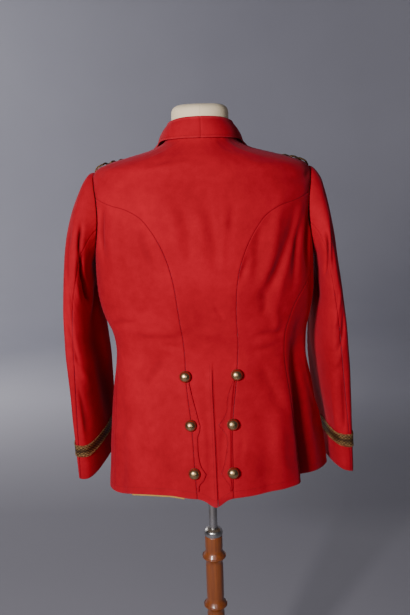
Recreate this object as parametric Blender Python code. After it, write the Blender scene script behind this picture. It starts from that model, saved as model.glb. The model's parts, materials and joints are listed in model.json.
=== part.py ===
"""A red walking-out jacket on a limbless dress form and its turned wooden stand.

World frame in metres, +Z up, origin at the middle of the stand's underside.
The wearer faces -Y, so the back of the jacket faces +Y and the wearer's left is +X.
Every piece of cloth is cut from one surface of the body or of a sleeve, then given its wall.
"""

import math

import bpy
import numpy as np

# Cloth and seams
CLOTH = 0.002
LACE_CLOTH = 0.0014
LINING_CLOTH = 0.001
SEAM_INSET = 0.00015
LAY_GAP = 0.0005
LINING_GAP = 0.0014
NUMERIC_STEP = 0.0001
METRES_PER_TURN = 0.17

# Levels above the floor
NECK_SEAM = 1.425
ARMHOLE_TOP = 1.360
ARMHOLE_FOOT = 1.195
WAIST_BUTTON = 0.964
BUTTON_DROP = 0.0935
VENT_TOP = 0.985
BREAK_LEVEL = 1.100

# Armhole, in degrees round the body from its side
ARMHOLE_BACK_SPAN = 26.0
ARMHOLE_FRONT_SPAN = 27.0
PRINCESS_ON_ARMHOLE = 26.0

# How many cells each seam is cut in
SEAM_CELLS = 18
BACK_ARMHOLE_CELLS = 3
UNDERARM_CELLS = 8
FRONT_ARMHOLE_CELLS = 8
SHOULDER_CELLS = 5
BACK_HALF_CELLS = 6
FRONT_CELLS = 8

# Front closure
FRONT_LAP = 0.018
UNDER_LAP_DEPTH = 0.0034
FRONT_BUTTONS = (1.086, 1.004, 0.922, 0.840)

# Vent at the centre back
VENT_SHIFT = -0.0025
VENT_UNDER = 0.034
VENT_BESIDE = 0.012
VENT_SLIT = 0.0006

# Buttons: a half ball on a shank
BUTTON_RADIUS = 0.0115
BUTTON_DOME = 0.80
SMALL_BUTTON_RADIUS = 0.0080
BUTTON_SIDES = 10

# Cuff lace, measured up from the edge of the cuff
LACE_LOW = 0.062
LACE_HIGH = 0.086

# Shoulder cord
CORD_RADIUS = 0.0019
CORD_OUTER_X = 0.204
CORD_INNER_X = 0.126
CORD_SWING = 0.0075
CORD_CROSSINGS = 5
CORD_OUTER_TURN = 103.0
CORD_INNER_TURN = 136.0

# Dress form and stand
NECK_RADIUS = 0.0555
NECK_TOP = 1.484
FORM_FOOT = 0.800
FORM_EDGE = 0.012
FORM_INSET = 0.0046
FORM_HOLLOW = 0.010
FORM_SLIM = 0.045
FORM_SEAT = 1.376
FORM_CELLS = 26
ROD_RADIUS = 0.009
COLUMN_RADIUS = 0.019
COLUMN_TOP = 0.575
KNUCKLE_TOP = 0.526
KNUCKLE_PITCH = 0.117
KNUCKLE_RISE = 0.0032
BASE_RADIUS = 0.200
BASE_HEIGHT = 0.046
FERRULE_HEIGHT = 0.016


class Table:
    """A short table with named columns, read as a smooth curve between its rows."""

    def __init__(self, names, rows):
        self.columns = {name: np.array(values, float) for name, values in zip(names, zip(*rows))}
        self.key = self.columns[names[0]]

    def __call__(self, name, at):
        keys = self.key
        values = self.columns[name]
        slopes = np.gradient(values, keys)
        at = np.clip(at, keys[0], keys[-1])
        row = np.clip(np.searchsorted(keys, at) - 1, 0, len(keys) - 2)
        width = keys[row + 1] - keys[row]
        t = (at - keys[row]) / width
        start = (2 * t**3 - 3 * t**2 + 1) * values[row] + (t**3 - 2 * t**2 + t) * width * slopes[row]
        end = (3 * t**2 - 2 * t**3) * values[row + 1] + (t**3 - t**2) * width * slopes[row + 1]
        return start + end


# Level sections of the jacket: half width, reach to the back and to the front,
# how far the section's middle lies toward the wearer's left, and how square it is.
TORSO = Table(
    ("height", "half_width", "back", "front", "drift", "square"),
    (
        (0.680, 0.2190, 0.146, 0.166, -0.009, 2.15),
        (0.780, 0.2110, 0.136, 0.157, -0.008, 2.20),
        (0.870, 0.2040, 0.121, 0.146, -0.007, 2.25),
        (0.925, 0.2000, 0.107, 0.138, -0.006, 2.30),
        (0.965, 0.1960, 0.099, 0.133, -0.006, 2.30),
        (1.000, 0.1940, 0.096, 0.131, -0.007, 2.30),
        (1.040, 0.1985, 0.100, 0.133, -0.006, 2.35),
        (1.072, 0.2090, 0.105, 0.137, -0.003, 2.40),
        (1.110, 0.2165, 0.111, 0.143, -0.001, 2.45),
        (1.160, 0.2180, 0.119, 0.149, 0.000, 2.50),
        (1.210, 0.2175, 0.124, 0.151, 0.000, 2.50),
        (1.260, 0.2175, 0.124, 0.146, 0.000, 2.50),
        (1.310, 0.2170, 0.118, 0.130, 0.000, 2.45),
        (1.340, 0.2160, 0.109, 0.114, 0.000, 2.35),
        (1.356, 0.2120, 0.102, 0.103, 0.000, 2.25),
        (1.368, 0.2000, 0.097, 0.090, 0.000, 2.15),
        (1.378, 0.1730, 0.092, 0.079, 0.000, 2.05),
        (1.387, 0.1400, 0.087, 0.071, 0.000, 2.00),
        (1.397, 0.1030, 0.079, 0.064, 0.000, 2.00),
        (1.409, 0.0760, 0.070, 0.060, 0.000, 2.00),
        (1.430, 0.0620, 0.062, 0.056, 0.000, 2.00),
    ),
)

# Large folds: where round the body at the foot and at the head, how wide, where each starts,
# where it is full, and how far it stands out
FOLDS = (
    ("right side valley", -66.0, -58.0, 9.5, 1.140, 0.760, -0.034),
    ("right side flare", -103.0, -103.0, 15.0, 1.060, 0.730, 0.032),
    ("left side valley", 62.0, 62.0, 8.0, 1.020, 0.740, -0.005),
    ("left side flare", 92.0, 92.0, 16.0, 1.000, 0.800, 0.009),
    ("left plait", 24.0, 24.0, 6.0, 0.960, 0.760, -0.004),
    ("right plait", -29.0, -29.0, 6.0, 0.960, 0.760, -0.004),
    ("left front valley", 138.0, 138.0, 9.0, 0.980, 0.740, -0.009),
    ("right front valley", -134.0, -134.0, 9.0, 0.980, 0.740, -0.010),
)

# Curved back seams: height, and how far each lies from the centre back
BACK_SEAM = (
    (0.700, 0.0385, 0.0335),
    (0.777, 0.0405, 0.0345),
    (0.871, 0.0435, 0.0375),
    (0.964, 0.0507, 0.0495),
    (1.023, 0.0530, 0.0530),
    (1.096, 0.0560, 0.0560),
    (1.150, 0.0610, 0.0610),
    (1.190, 0.0700, 0.0700),
    (1.222, 0.0820, 0.0820),
    (1.254, 0.1000, 0.1000),
    (1.277, 0.1190, 0.1190),
    (1.292, 0.1450, 0.1450),
    (1.300, 0.1750, 0.1750),
)

# Lower edge of the jacket round the body, in degrees
HEM = Table(
    ("turn", "height"),
    (
        (-180.0, 0.702),
        (-140.0, 0.704),
        (-105.0, 0.722),
        (-80.0, 0.727),
        (-60.0, 0.728),
        (-35.0, 0.728),
        (-12.0, 0.7245),
        (0.0, 0.7235),
        (12.0, 0.7250),
        (35.0, 0.7270),
        (50.0, 0.7190),
        (65.0, 0.7065),
        (85.0, 0.7015),
        (120.0, 0.7010),
        (180.0, 0.7020),
    ),
)
HEM_CORNER_DROP = 0.0155

# Side seams: how far round the body each lies, in degrees
SIDE_SEAM = Table(
    ("height", "left", "right"),
    (
        (0.680, 74.0, 52.0),
        (0.780, 74.0, 52.0),
        (0.870, 73.0, 50.5),
        (0.940, 72.5, 48.0),
        (1.000, 73.0, 46.0),
        (1.060, 76.0, 46.0),
        (1.100, 79.5, 49.5),
        (1.130, 82.0, 57.0),
        (1.160, 85.5, 70.0),
        (1.195, 90.0, 90.0),
    ),
)

# Front edge: height, and distance from the centre front
FRONT_EDGE = (
    (0.700, -FRONT_LAP),
    (0.800, -FRONT_LAP),
    (0.900, -FRONT_LAP),
    (1.000, -FRONT_LAP),
    (BREAK_LEVEL, -FRONT_LAP),
    (1.125, -0.004),
    (1.165, 0.009),
    (1.215, 0.020),
    (1.270, 0.031),
    (1.330, 0.043),
    (1.370, 0.050),
    (1.387, 0.0535),
    (1.399, 0.0555),
    (1.411, 0.0575),
)

# Outer edge of the lapel: height, and distance from the centre front
LAPEL_EDGE = (
    (1.140, 0.010),
    (1.180, 0.050),
    (1.225, 0.082),
    (1.270, 0.103),
    (1.318, 0.118),
)
LAPEL_GAP = 0.0011
LAPEL_ROLL = 0.0030
LAPEL_FOOT = 1.140
LAPEL_HEAD = 1.372

# Along half the collar: level of the neck seam, rise of the stand, its lean toward the neck,
# and where the outer edge of the fall lies round the body
COLLAR = Table(
    ("along", "neck_height", "rise", "lean", "fall_turn", "fall_height"),
    (
        (0.00, 1.425, 0.0340, 0.00, 0.0, 1.4180),
        (0.20, 1.425, 0.0322, 0.03, 34.0, 1.4170),
        (0.40, 1.425, 0.0262, 0.06, 67.0, 1.4130),
        (0.55, 1.425, 0.0210, 0.07, 92.0, 1.4080),
        (0.70, 1.416, 0.0175, 0.04, 118.0, 1.3990),
        (0.86, 1.402, 0.013, 0.02, 143.0, 1.377),
        (1.00, 1.386, 0.007, 0.00, 154.5, 1.353),
    ),
)
COLLAR_SHOULDER = 0.55
COLLAR_SEAM_GAP = 0.0013
COLLAR_LAY = 0.0062
COLLAR_STATIONS = 22
COLLAR_FOLD_WIDTH = 0.0060
COLLAR_FOLD_DROP = 0.0040

# The collar's fold as shares of its width and drop, and where its fall swells, on the way to its edge
COLLAR_FOLD = ((0.25, 0.15), (0.70, 0.15))
COLLAR_FALL = (0.38, 0.72)
COLLAR_SWELL_OUT = 0.0025
COLLAR_SWELL_UP = 0.0020

# Slash flaps on the back skirts: height, and how far each inner edge lies from the centre back
FLAP_EDGE = (
    ("top", 0.9580, 0.0455, 0.0440),
    ("first slope", 0.9200, 0.0380, 0.0290),
    ("above first point", 0.8940, 0.0320, 0.0253),
    ("first lip", 0.8800, 0.0292, 0.0176),
    ("first point", 0.8705, 0.0264, 0.0088),
    ("below first point", 0.8596, 0.0278, 0.0168),
    ("hollow head", 0.8485, 0.0320, 0.0232),
    ("hollow", 0.8370, 0.0326, 0.0245),
    ("hollow foot", 0.8110, 0.0320, 0.0210),
    ("above second point", 0.7915, 0.0280, 0.0166),
    ("second point", 0.7755, 0.0185, 0.0104),
    ("below second point", 0.7640, 0.0235, 0.0168),
    ("tail", 0.7510, 0.0332, 0.0260),
    ("foot", 0.7400, 0.0340, 0.0265),
)
FLAP_ACROSS = 3
FLAP_SEAM_GAP = 0.0030

# Back buttons: height, and how far each lies from the centre back
BACK_BUTTONS = (
    (WAIST_BUTTON, 0.0512, 0.0492),
    (WAIST_BUTTON - BUTTON_DROP, 0.0446, 0.0370),
    (WAIST_BUTTON - 2 * BUTTON_DROP, 0.0415, 0.0337),
)

# Sleeves: the ring's outer and inner edge, its half depth, how far forward it hangs,
# its turn about the upright, its pitch, which lifts the front of the ring, and how square it is
SLEEVE_COLUMNS = (
    "drop", "out_x", "out_z", "in_x", "in_z", "half_depth", "forward", "turn", "pitch", "square"
)
SLEEVES = {
    "left": Table(
        SLEEVE_COLUMNS,
        (
            (0.000, 0.2090, 1.3600, 0.2175, 1.1950, 0.064, 0.000, 0.0, 0.0, 2.0),
            (0.012, 0.2205, 1.3570, 0.2200, 1.1900, 0.067, 0.000, 0.0, 0.0, 2.0),
            (0.026, 0.2315, 1.3440, 0.2235, 1.1820, 0.071, 0.000, 1.0, 0.0, 2.0),
            (0.045, 0.2420, 1.3240, 0.2250, 1.1720, 0.076, 0.001, 2.0, 0.0, 2.0),
            (0.110, 0.2640, 1.2580, 0.2265, 1.1420, 0.080, 0.003, 6.0, 1.0, 2.2),
            (0.190, 0.2715, 1.1760, 0.2275, 1.1050, 0.081, 0.006, 10.0, 2.0, 2.5),
            (0.275, 0.2735, 1.0900, 0.2250, 1.0500, 0.080, 0.010, 14.0, 4.0, 2.9),
            (0.375, 0.2710, 0.9900, 0.2220, 0.9700, 0.078, 0.018, 17.0, 8.0, 3.2),
            (0.470, 0.2685, 0.8980, 0.2240, 0.8890, 0.076, 0.031, 19.0, 12.0, 3.2),
            (0.560, 0.2675, 0.8170, 0.2255, 0.8130, 0.073, 0.045, 20.0, 15.0, 3.2),
            (0.645, 0.2665, 0.7380, 0.2275, 0.7380, 0.072, 0.056, 20.0, 16.0, 3.2),
        ),
    ),
    "right": Table(
        SLEEVE_COLUMNS,
        (
            (0.000, 0.2090, 1.3600, 0.2175, 1.1950, 0.064, 0.000, 0.0, 0.0, 2.0),
            (0.012, 0.2190, 1.3560, 0.2200, 1.1900, 0.067, 0.000, 0.0, 0.0, 2.0),
            (0.026, 0.2305, 1.3420, 0.2235, 1.1820, 0.071, 0.000, 0.5, 0.0, 2.0),
            (0.045, 0.2380, 1.3220, 0.2250, 1.1720, 0.076, 0.001, 1.0, 0.0, 2.0),
            (0.110, 0.2505, 1.2560, 0.2265, 1.1420, 0.080, 0.003, 4.0, 0.0, 2.2),
            (0.190, 0.2575, 1.1760, 0.2265, 1.1050, 0.081, 0.006, 8.0, 1.0, 2.5),
            (0.275, 0.2655, 1.0920, 0.2250, 1.0550, 0.080, 0.010, 12.0, 2.0, 2.9),
            (0.375, 0.2735, 0.9930, 0.2260, 0.9750, 0.078, 0.018, 15.0, 3.0, 3.2),
            (0.470, 0.2805, 0.8980, 0.2350, 0.8920, 0.076, 0.030, 15.0, 4.0, 3.2),
            (0.560, 0.2870, 0.8080, 0.2475, 0.8110, 0.073, 0.043, 14.0, 5.0, 3.2),
            (0.645, 0.2930, 0.7210, 0.2535, 0.7310, 0.072, 0.054, 13.0, 5.0, 3.2),
        ),
    ),
}
SLEEVE_LENGTH = 0.645
SLEEVE_HEAD_GAP = 0.0012
SLEEVE_CROWN = 0.085
SIDES = (("left", 1.0), ("right", -1.0))


def unit(vectors):
    """Vectors of length one."""
    return vectors / np.linalg.norm(vectors, axis=-1, keepdims=True)


def ramp(start, end, at):
    """Rises softly from 0 at start to 1 at end, whichever is larger."""
    t = np.clip((at - start) / (end - start), 0.0, 1.0)
    return t * t * (3.0 - 2.0 * t)


def fold_reach(turn, height):
    """How far the large folds of the skirts stand out at a place on the body."""
    reach = np.zeros(np.broadcast(turn, height).shape)
    degrees = np.degrees((np.asarray(turn) + math.pi) % (2 * math.pi) - math.pi)
    for _name, foot, head, width, start, full, size in FOLDS:
        middle = head + (foot - head) * np.clip((start - height) / (start - full), 0.0, 1.0)
        reach = reach + size * np.exp(-(((degrees - middle) / width) ** 2)) * ramp(start, full, height)
    return reach


def body_point(turn, height):
    """A point of the body's outer face; turn runs from the centre back toward the wearer's left."""
    turn, height = np.broadcast_arrays(np.asarray(turn, float), np.asarray(height, float))
    sine = np.sin(turn)
    cosine = np.cos(turn)
    square = TORSO("square", height)
    reach = (np.abs(sine) ** square + np.abs(cosine) ** square) ** (-1.0 / square)
    depth = np.where(cosine > 0, TORSO("back", height), TORSO("front", height))
    x = TORSO("half_width", height) * reach * sine
    y = depth * reach * cosine
    stretch = 1.0 + fold_reach(turn, height) / np.hypot(x, y)
    return np.stack([x * stretch + TORSO("drift", height), y * stretch, height], axis=-1)


def body_normal(turn, height):
    """The outward direction of the body's face."""
    turn = np.asarray(turn, float)
    height = np.asarray(height, float)
    along = body_point(turn + NUMERIC_STEP, height) - body_point(turn - NUMERIC_STEP, height)
    up = body_point(turn, height + NUMERIC_STEP) - body_point(turn, height - NUMERIC_STEP)
    return unit(np.cross(up, along))


def back_turn(x, height):
    """How far round the body a place x metres from the centre back lies."""
    share = np.abs(x) / TORSO("half_width", height)
    square = TORSO("square", height)
    return np.sign(x) * np.arctan2(share, (1.0 - share**square) ** (1.0 / square))


def front_turn(x, height):
    """The same from the centre front, for the left front."""
    return math.pi - back_turn(x, height)


def through(points, cells, start=0.0, end=1.0):
    """A smooth curve through points, cut in cells of even length."""
    points = np.array(points, float)
    steps = np.linalg.norm(np.diff(points, axis=0) * np.array([METRES_PER_TURN, 1.0]), axis=1)
    along = np.concatenate([[0.0], np.cumsum(steps)]) / steps.sum()
    curve = Table(("along", "a", "b"), [(s, *p) for s, p in zip(along, points)])
    at = np.linspace(start, end, cells + 1)
    return np.stack([curve("a", at), curve("b", at)], axis=-1)


def hem_height(turn):
    """The lower edge of the jacket, with the vent's corner hanging lower."""
    degrees = np.degrees((np.asarray(turn) + math.pi) % (2 * math.pi) - math.pi)
    corner = np.exp(-(((degrees - 0.5) / 5.0) ** 2))
    return HEM("height", degrees) - HEM_CORNER_DROP * corner


def armhole(side, angles):
    """Places on the armhole; 90 degrees is the shoulder, 0 the back, -90 the underarm."""
    angles = np.radians(np.asarray(angles, float))
    span = np.where(np.cos(angles) > 0, ARMHOLE_BACK_SPAN, ARMHOLE_FRONT_SPAN)
    turn = np.radians(90.0 - span * np.cos(angles)) * side
    middle = (ARMHOLE_TOP + ARMHOLE_FOOT) / 2
    half = (ARMHOLE_TOP - ARMHOLE_FOOT) / 2
    return np.stack([turn, middle + half * np.sin(angles)], axis=-1)


def armhole_angles():
    """One round of the armhole, cut where the panels' seams meet it."""
    back = np.linspace(90.0, PRINCESS_ON_ARMHOLE, BACK_ARMHOLE_CELLS + 1)
    under = np.linspace(PRINCESS_ON_ARMHOLE, -90.0, UNDERARM_CELLS + 1)
    front = np.linspace(-90.0, -270.0, FRONT_ARMHOLE_CELLS + 1)
    return back, under, front


def back_seam(side):
    """The curved back seam from the hem up to the armhole."""
    column = 1 if side > 0 else 2
    rows = [(back_turn(side * row[column], row[0]), row[0]) for row in BACK_SEAM[1:]]
    foot_turn = back_turn(side * BACK_SEAM[0][column], BACK_SEAM[0][0])
    foot = (foot_turn, hem_height(foot_turn))
    return through([foot] + rows + [armhole(side, PRINCESS_ON_ARMHOLE)], SEAM_CELLS)


def side_seam(name, side):
    """The side seam from the hem up to the underarm."""
    heights = SIDE_SEAM.key[1:]
    rows = [(math.radians(SIDE_SEAM(name, h)) * side, h) for h in heights]
    foot_turn = math.radians(SIDE_SEAM(name, SIDE_SEAM.key[0])) * side
    return through([(foot_turn, hem_height(foot_turn))] + rows, SEAM_CELLS)


def shoulder_seam(side, cells):
    """The ridge from the shoulder point to the neck."""
    heights = np.linspace(ARMHOLE_TOP, NECK_SEAM, 9)
    edge = body_point(math.pi / 2, heights)
    steps = np.linalg.norm(np.diff(edge, axis=0), axis=1)
    along = np.concatenate([[0.0], np.cumsum(steps)])
    even = np.linspace(0.0, along[-1], cells + 1)
    return np.stack([np.full(cells + 1, side * math.pi / 2), np.interp(even, along, heights)], axis=-1)


def patch(first, second, low, high):
    """Fills four edges, each a row of places: first and second run up, low and high run across."""
    rows = len(first)
    columns = len(low)
    up = np.linspace(0.0, 1.0, rows)[:, None, None]
    across = np.linspace(0.0, 1.0, columns)[None, :, None]
    sides = (1 - across) * first[:, None, :] + across * second[:, None, :]
    ends = (1 - up) * low[None, :, :] + up * high[None, :, :]
    corners = (
        (1 - up) * ((1 - across) * first[0] + across * second[0])
        + up * ((1 - across) * first[-1] + across * second[-1])
    )
    return sides + ends - corners


def material(name, colour, roughness, metallic=0.0):
    """A plain finish for one kind of piece."""
    made = bpy.data.materials.new(name)
    made.use_nodes = True
    shader = made.node_tree.nodes["Principled BSDF"]
    shader.inputs["Base Color"].default_value = (*colour, 1.0)
    shader.inputs["Roughness"].default_value = roughness
    shader.inputs["Metallic"].default_value = metallic
    return made


FINISHES = {
    "cloth": ((0.42, 0.012, 0.014), 0.85, 0.0),
    "brass": ((0.50, 0.36, 0.16), 0.35, 1.0),
    "lace": ((0.36, 0.24, 0.09), 0.55, 0.6),
    "lining": ((0.80, 0.55, 0.12), 0.70, 0.0),
    "form": ((0.72, 0.66, 0.52), 0.80, 0.0),
    "nickel": ((0.55, 0.55, 0.55), 0.30, 1.0),
    "wood": ((0.38, 0.13, 0.05), 0.30, 0.0),
}


def add_object(name, vertices, faces, finish, smooth=True):
    """One piece, with its own finish, from its points and faces."""
    mesh = bpy.data.meshes.new(name)
    mesh.from_pydata([tuple(map(float, v)) for v in vertices], [], [tuple(map(int, f)) for f in faces])
    mesh.materials.append(material(name, *FINISHES[finish]))
    mesh.validate()
    if smooth:
        mesh.shade_smooth()
        mesh.set_sharp_from_angle(angle=math.radians(50))
    made = bpy.data.objects.new(name, mesh)
    bpy.context.scene.collection.objects.link(made)
    return made


def draw_in(points):
    """Draws a grid's four edges in by half a seam's gap."""
    drawn = points.copy()
    drawn[0] += unit(points[1] - points[0]) * SEAM_INSET
    drawn[-1] += unit(points[-2] - points[-1]) * SEAM_INSET
    drawn[:, 0] += unit(points[:, 1] - points[:, 0]) * SEAM_INSET
    drawn[:, -1] += unit(points[:, -2] - points[:, -1]) * SEAM_INSET
    return drawn


def wall(name, outer, normals, thickness, finish, slit_rows=0, slit_column=0, closed=False):
    """A closed wall of cloth: the grid of outer points, the inner ones, and its edges."""
    rows, columns = outer.shape[:2]
    index = np.arange(rows * columns).reshape(rows, columns)
    right_index = index.copy()
    points = outer.reshape(-1, 3)
    directions = normals.reshape(-1, 3)
    if slit_rows:
        ids = rows * columns + np.arange(slit_rows)
        right_index[:slit_rows, slit_column] = ids
        across = unit(outer[:slit_rows, slit_column + 1] - outer[:slit_rows, slit_column])
        points = np.concatenate([points, outer[:slit_rows, slit_column] + across * VENT_SLIT / 2])
        points[index[:slit_rows, slit_column]] -= across * VENT_SLIT / 2
        directions = np.concatenate([directions, normals[:slit_rows, slit_column]])
    quads = []
    last = columns if closed else columns - 1
    for r in range(rows - 1):
        for c in range(last):
            d = (c + 1) % columns
            left = right_index if c >= slit_column else index
            quads.append((left[r, c], left[r + 1, c], index[r + 1, d], index[r, d]))
    a, b, _c, d = (points[i] for i in quads[len(quads) // 2])
    facing = np.dot(np.cross(b - a, d - a), directions[quads[len(quads) // 2][0]])
    if facing < 0:
        quads = [tuple(reversed(q)) for q in quads]
    count = len(points)
    directed = {(q[i], q[(i + 1) % 4]) for q in quads for i in range(4)}
    edges = [e for e in sorted(directed) if (e[1], e[0]) not in directed]
    inner = [tuple(i + count for i in reversed(q)) for q in quads]
    rims = []
    for first, second in edges:
        rim = (first, first + count, second + count, second)
        if points[first, 2] > points[second, 2]:
            rim = (second, first, first + count, second + count)
        rims.append(rim)
    vertices = np.concatenate([points, points - directions * thickness])
    return add_object(name, vertices, quads + inner + rims, finish)


def body_wall(name, places, lift=0.0, thickness=CLOTH, finish="cloth", **options):
    """A panel cut from the body's surface, lifted off it where it lies on another panel."""
    turn = places[..., 0]
    height = places[..., 1]
    normals = body_normal(turn, height)
    lift = np.broadcast_to(np.asarray(lift, float), turn.shape)
    outer = body_point(turn, height) + normals * lift[..., None]
    return wall(name, draw_in(outer), normals, thickness, finish, **options)


def make_back():
    """The whole back, from the hem to the shoulders, with its vent below the waist."""
    back_angles, _under, _front = armhole_angles()
    edge = np.concatenate(
        [
            back_seam(1.0),
            armhole(1.0, back_angles[::-1])[1:],
            shoulder_seam(1.0, SHOULDER_CELLS)[1:],
        ]
    )
    mirrored = np.concatenate(
        [
            back_seam(-1.0),
            armhole(-1.0, back_angles[::-1])[1:],
            shoulder_seam(-1.0, SHOULDER_CELLS)[1:],
        ]
    )
    across = np.linspace(-1.0, 1.0, 2 * BACK_HALF_CELLS + 1)[None, :]
    share = np.abs(across)
    heights = edge[:, 1]
    middle_turns = back_turn(VENT_SHIFT, heights) * ramp(1.10, VENT_TOP, heights)
    side_turn = np.where(across > 0, edge[:, :1], mirrored[:, :1])
    turn = middle_turns[:, None] * (1 - share) + side_turn * share
    height = np.repeat(heights[:, None], across.shape[1], axis=1)
    height[0] = hem_height(turn[0])
    slit_rows = int(np.searchsorted(heights, VENT_TOP))
    places = np.stack([turn, height], axis=-1)
    body_wall("jacket_back", places, slit_rows=slit_rows, slit_column=BACK_HALF_CELLS)


def make_side(name, side):
    """The side body between the curved back seam and the side seam."""
    _back, under, _front = armhole_angles()
    first = back_seam(side)
    second = side_seam(name, side)
    low_turn = np.linspace(first[0, 0], second[0, 0], UNDERARM_CELLS + 1)
    low = np.stack([low_turn, hem_height(low_turn)], axis=-1)
    body_wall(f"jacket_side_{name}", patch(first, second, low, armhole(side, under)))


def front_sink(turn, height, name):
    """How deep the right front lies under the left one, below the lapels."""
    if name == "left":
        return np.zeros(np.shape(turn))
    share = ramp(157.0, 169.0, np.degrees(np.abs(turn)))
    return -UNDER_LAP_DEPTH * share * ramp(1.220, 1.150, height)


def front_edge(side, cells):
    """The front edge from the hem up the break of the lapel to the neck."""
    rows = [(side * front_turn(x, h), h) for h, x in FRONT_EDGE[1:]]
    foot_turn = side * front_turn(FRONT_EDGE[0][1], FRONT_EDGE[0][0])
    points = [(foot_turn, hem_height(foot_turn))] + rows + [(side * math.pi / 2, NECK_SEAM)]
    return through(points, cells)


def make_front(name, side):
    """A front: side seam, armhole, shoulder, and the edge that runs up into the lapel's break."""
    _back, _under, front = armhole_angles()
    first = np.concatenate([side_seam(name, side), armhole(side, front)[1:]])
    second = front_edge(side, len(first) - 1)
    low_turn = np.linspace(first[0, 0], second[0, 0], FRONT_CELLS + 1)
    low = np.stack([low_turn, hem_height(low_turn)], axis=-1)
    places = patch(first, second, low, shoulder_seam(side, FRONT_CELLS))
    body_wall(f"jacket_front_{name}", places, lift=front_sink(places[..., 0], places[..., 1], name))


def make_lapel(name, side):
    """A lapel, folded back on its front and fuller along the break."""
    cells = 9
    inner_rows = [(h, x) for h, x in FRONT_EDGE if LAPEL_FOOT < h < LAPEL_HEAD]
    inner = [(LAPEL_FOOT, 0.003)] + inner_rows + [(LAPEL_HEAD, 0.0505)]
    first = through([(side * front_turn(x, h), h) for h, x in inner], cells)
    second = through([(side * front_turn(x, h), h) for h, x in LAPEL_EDGE], cells)
    low = np.linspace(first[0], second[0], 5)
    high = np.linspace(first[-1], second[-1], 5)
    places = patch(first, second, low, high)
    share = np.linspace(0.0, 1.0, 5)[None, :]
    roll = LAPEL_ROLL * (1.0 - share) ** 2
    lift = front_sink(places[..., 0], places[..., 1], name) + CLOTH + LAPEL_GAP + roll
    body_wall(f"lapel_{name}", places, lift=lift)


def make_vent_underlap():
    """The strip of the right tail that lies under the left one."""
    heights = np.linspace(0.722, VENT_TOP - 0.012, 9)
    offsets = np.linspace(VENT_SHIFT - VENT_BESIDE, VENT_SHIFT + VENT_UNDER, 5)
    turn = back_turn(offsets[None, :], heights[:, None])
    places = np.stack([turn, np.broadcast_to(heights[:, None], turn.shape)], axis=-1)
    body_wall("vent_underlap", places, lift=-(CLOTH + LAY_GAP))


def make_hem_lining():
    """The yellow lining where it shows below the left back skirt."""
    turn = np.radians(np.linspace(17.5, 52.0, 9))
    up = np.linspace(-0.0035, 0.040, 3)
    height = hem_height(turn)[None, :] + up[:, None]
    places = np.stack([np.broadcast_to(turn, height.shape), height], axis=-1)
    lift = -(CLOTH + LINING_GAP)
    body_wall("hem_lining", places, lift=lift, thickness=LINING_CLOTH, finish="lining")


def make_flap(name, side):
    """A slash flap with its points toward the vent, laid on the back skirt."""
    column = 1 if side > 0 else 2
    heights = np.array([row[1] for row in FLAP_EDGE])[::-1]
    inner = np.array([row[1 + column] for row in FLAP_EDGE])[::-1]
    seam = np.array(BACK_SEAM)
    outer = np.interp(heights, seam[:, 0], seam[:, column]) - FLAP_SEAM_GAP
    share = np.linspace(0.0, 1.0, FLAP_ACROSS + 1)[None, :]
    offsets = side * (inner[:, None] * (1 - share) + outer[:, None] * share)
    turn = back_turn(offsets, heights[:, None])
    places = np.stack([turn, np.broadcast_to(heights[:, None], turn.shape)], axis=-1)
    body_wall(f"slash_flap_{name}", places, lift=LAY_GAP + LACE_CLOTH, thickness=LACE_CLOTH)


def neck_place(at):
    """The neck seam from the centre back round to the lapel, as a place on the left of the body."""
    height = float(COLLAR("neck_height", at))
    if at <= COLLAR_SHOULDER:
        return math.pi / 2 * at / COLLAR_SHOULDER, height
    edge = front_edge(1.0, 160)
    return float(np.interp(height, edge[:, 1], edge[:, 0])), height


def collar_foot(at):
    """A point of the collar's neck edge, just clear of the edge of the body it is sewn to."""
    step = 0.01
    turn, height = neck_place(at)
    ahead = body_point(*neck_place(min(at + step, 1.0))) - body_point(*neck_place(max(at - step, 0.0)))
    off_edge = unit(np.cross(ahead, body_normal(turn, height)))
    return body_point(turn, height) + off_edge * COLLAR_SEAM_GAP


def collar_section(along):
    """One section of the collar, from the neck seam up its stand, over the fold and down its fall."""
    at = abs(along)
    mirror = np.array([-1.0 if along < 0 else 1.0, 1.0, 1.0])
    fall_turn = math.radians(COLLAR("fall_turn", at))
    fall_height = COLLAR("fall_height", at)
    foot = collar_foot(at)
    edge = body_point(fall_turn, fall_height) + body_normal(fall_turn, fall_height) * COLLAR_LAY
    lean = 1.0 - COLLAR("lean", at)
    up = np.array([0.0, 0.0, 1.0])
    top = foot * np.array([lean, lean, 1.0]) + up * COLLAR("rise", at)
    outward = unit((edge - top) * np.array([1.0, 1.0, 0.0]))
    drop = min(COLLAR_FOLD_DROP, 0.5 * float(COLLAR("rise", at)))
    width = COLLAR_FOLD_WIDTH
    fall_start = top + outward * width - up * drop
    swell = outward * COLLAR_SWELL_OUT + up * COLLAR_SWELL_UP
    stand_top = top - up * drop
    section = [foot, (foot + stand_top) / 2, stand_top]
    section += [top + outward * across * width - up * down * drop for across, down in COLLAR_FOLD]
    section.append(fall_start)
    section += [fall_start * (1.0 - share) + edge * share + swell for share in COLLAR_FALL]
    section.append(edge)
    return [point * mirror for point in section]


def grid_normals(points):
    """Directions square to a grid of points."""
    up = np.gradient(points, axis=0)
    across = np.gradient(points, axis=1)
    return unit(np.cross(up, across))


def make_collar():
    """The turned-down collar, one piece from lapel to lapel."""
    stations = np.linspace(-1.0, 1.0, COLLAR_STATIONS + 1)
    grid = np.array([collar_section(s) for s in stations])
    normals = grid_normals(grid)
    if normals[COLLAR_STATIONS // 2, -2, 1] < 0:
        normals = -normals
    wall("collar", grid, normals, CLOTH, "cloth")


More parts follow.
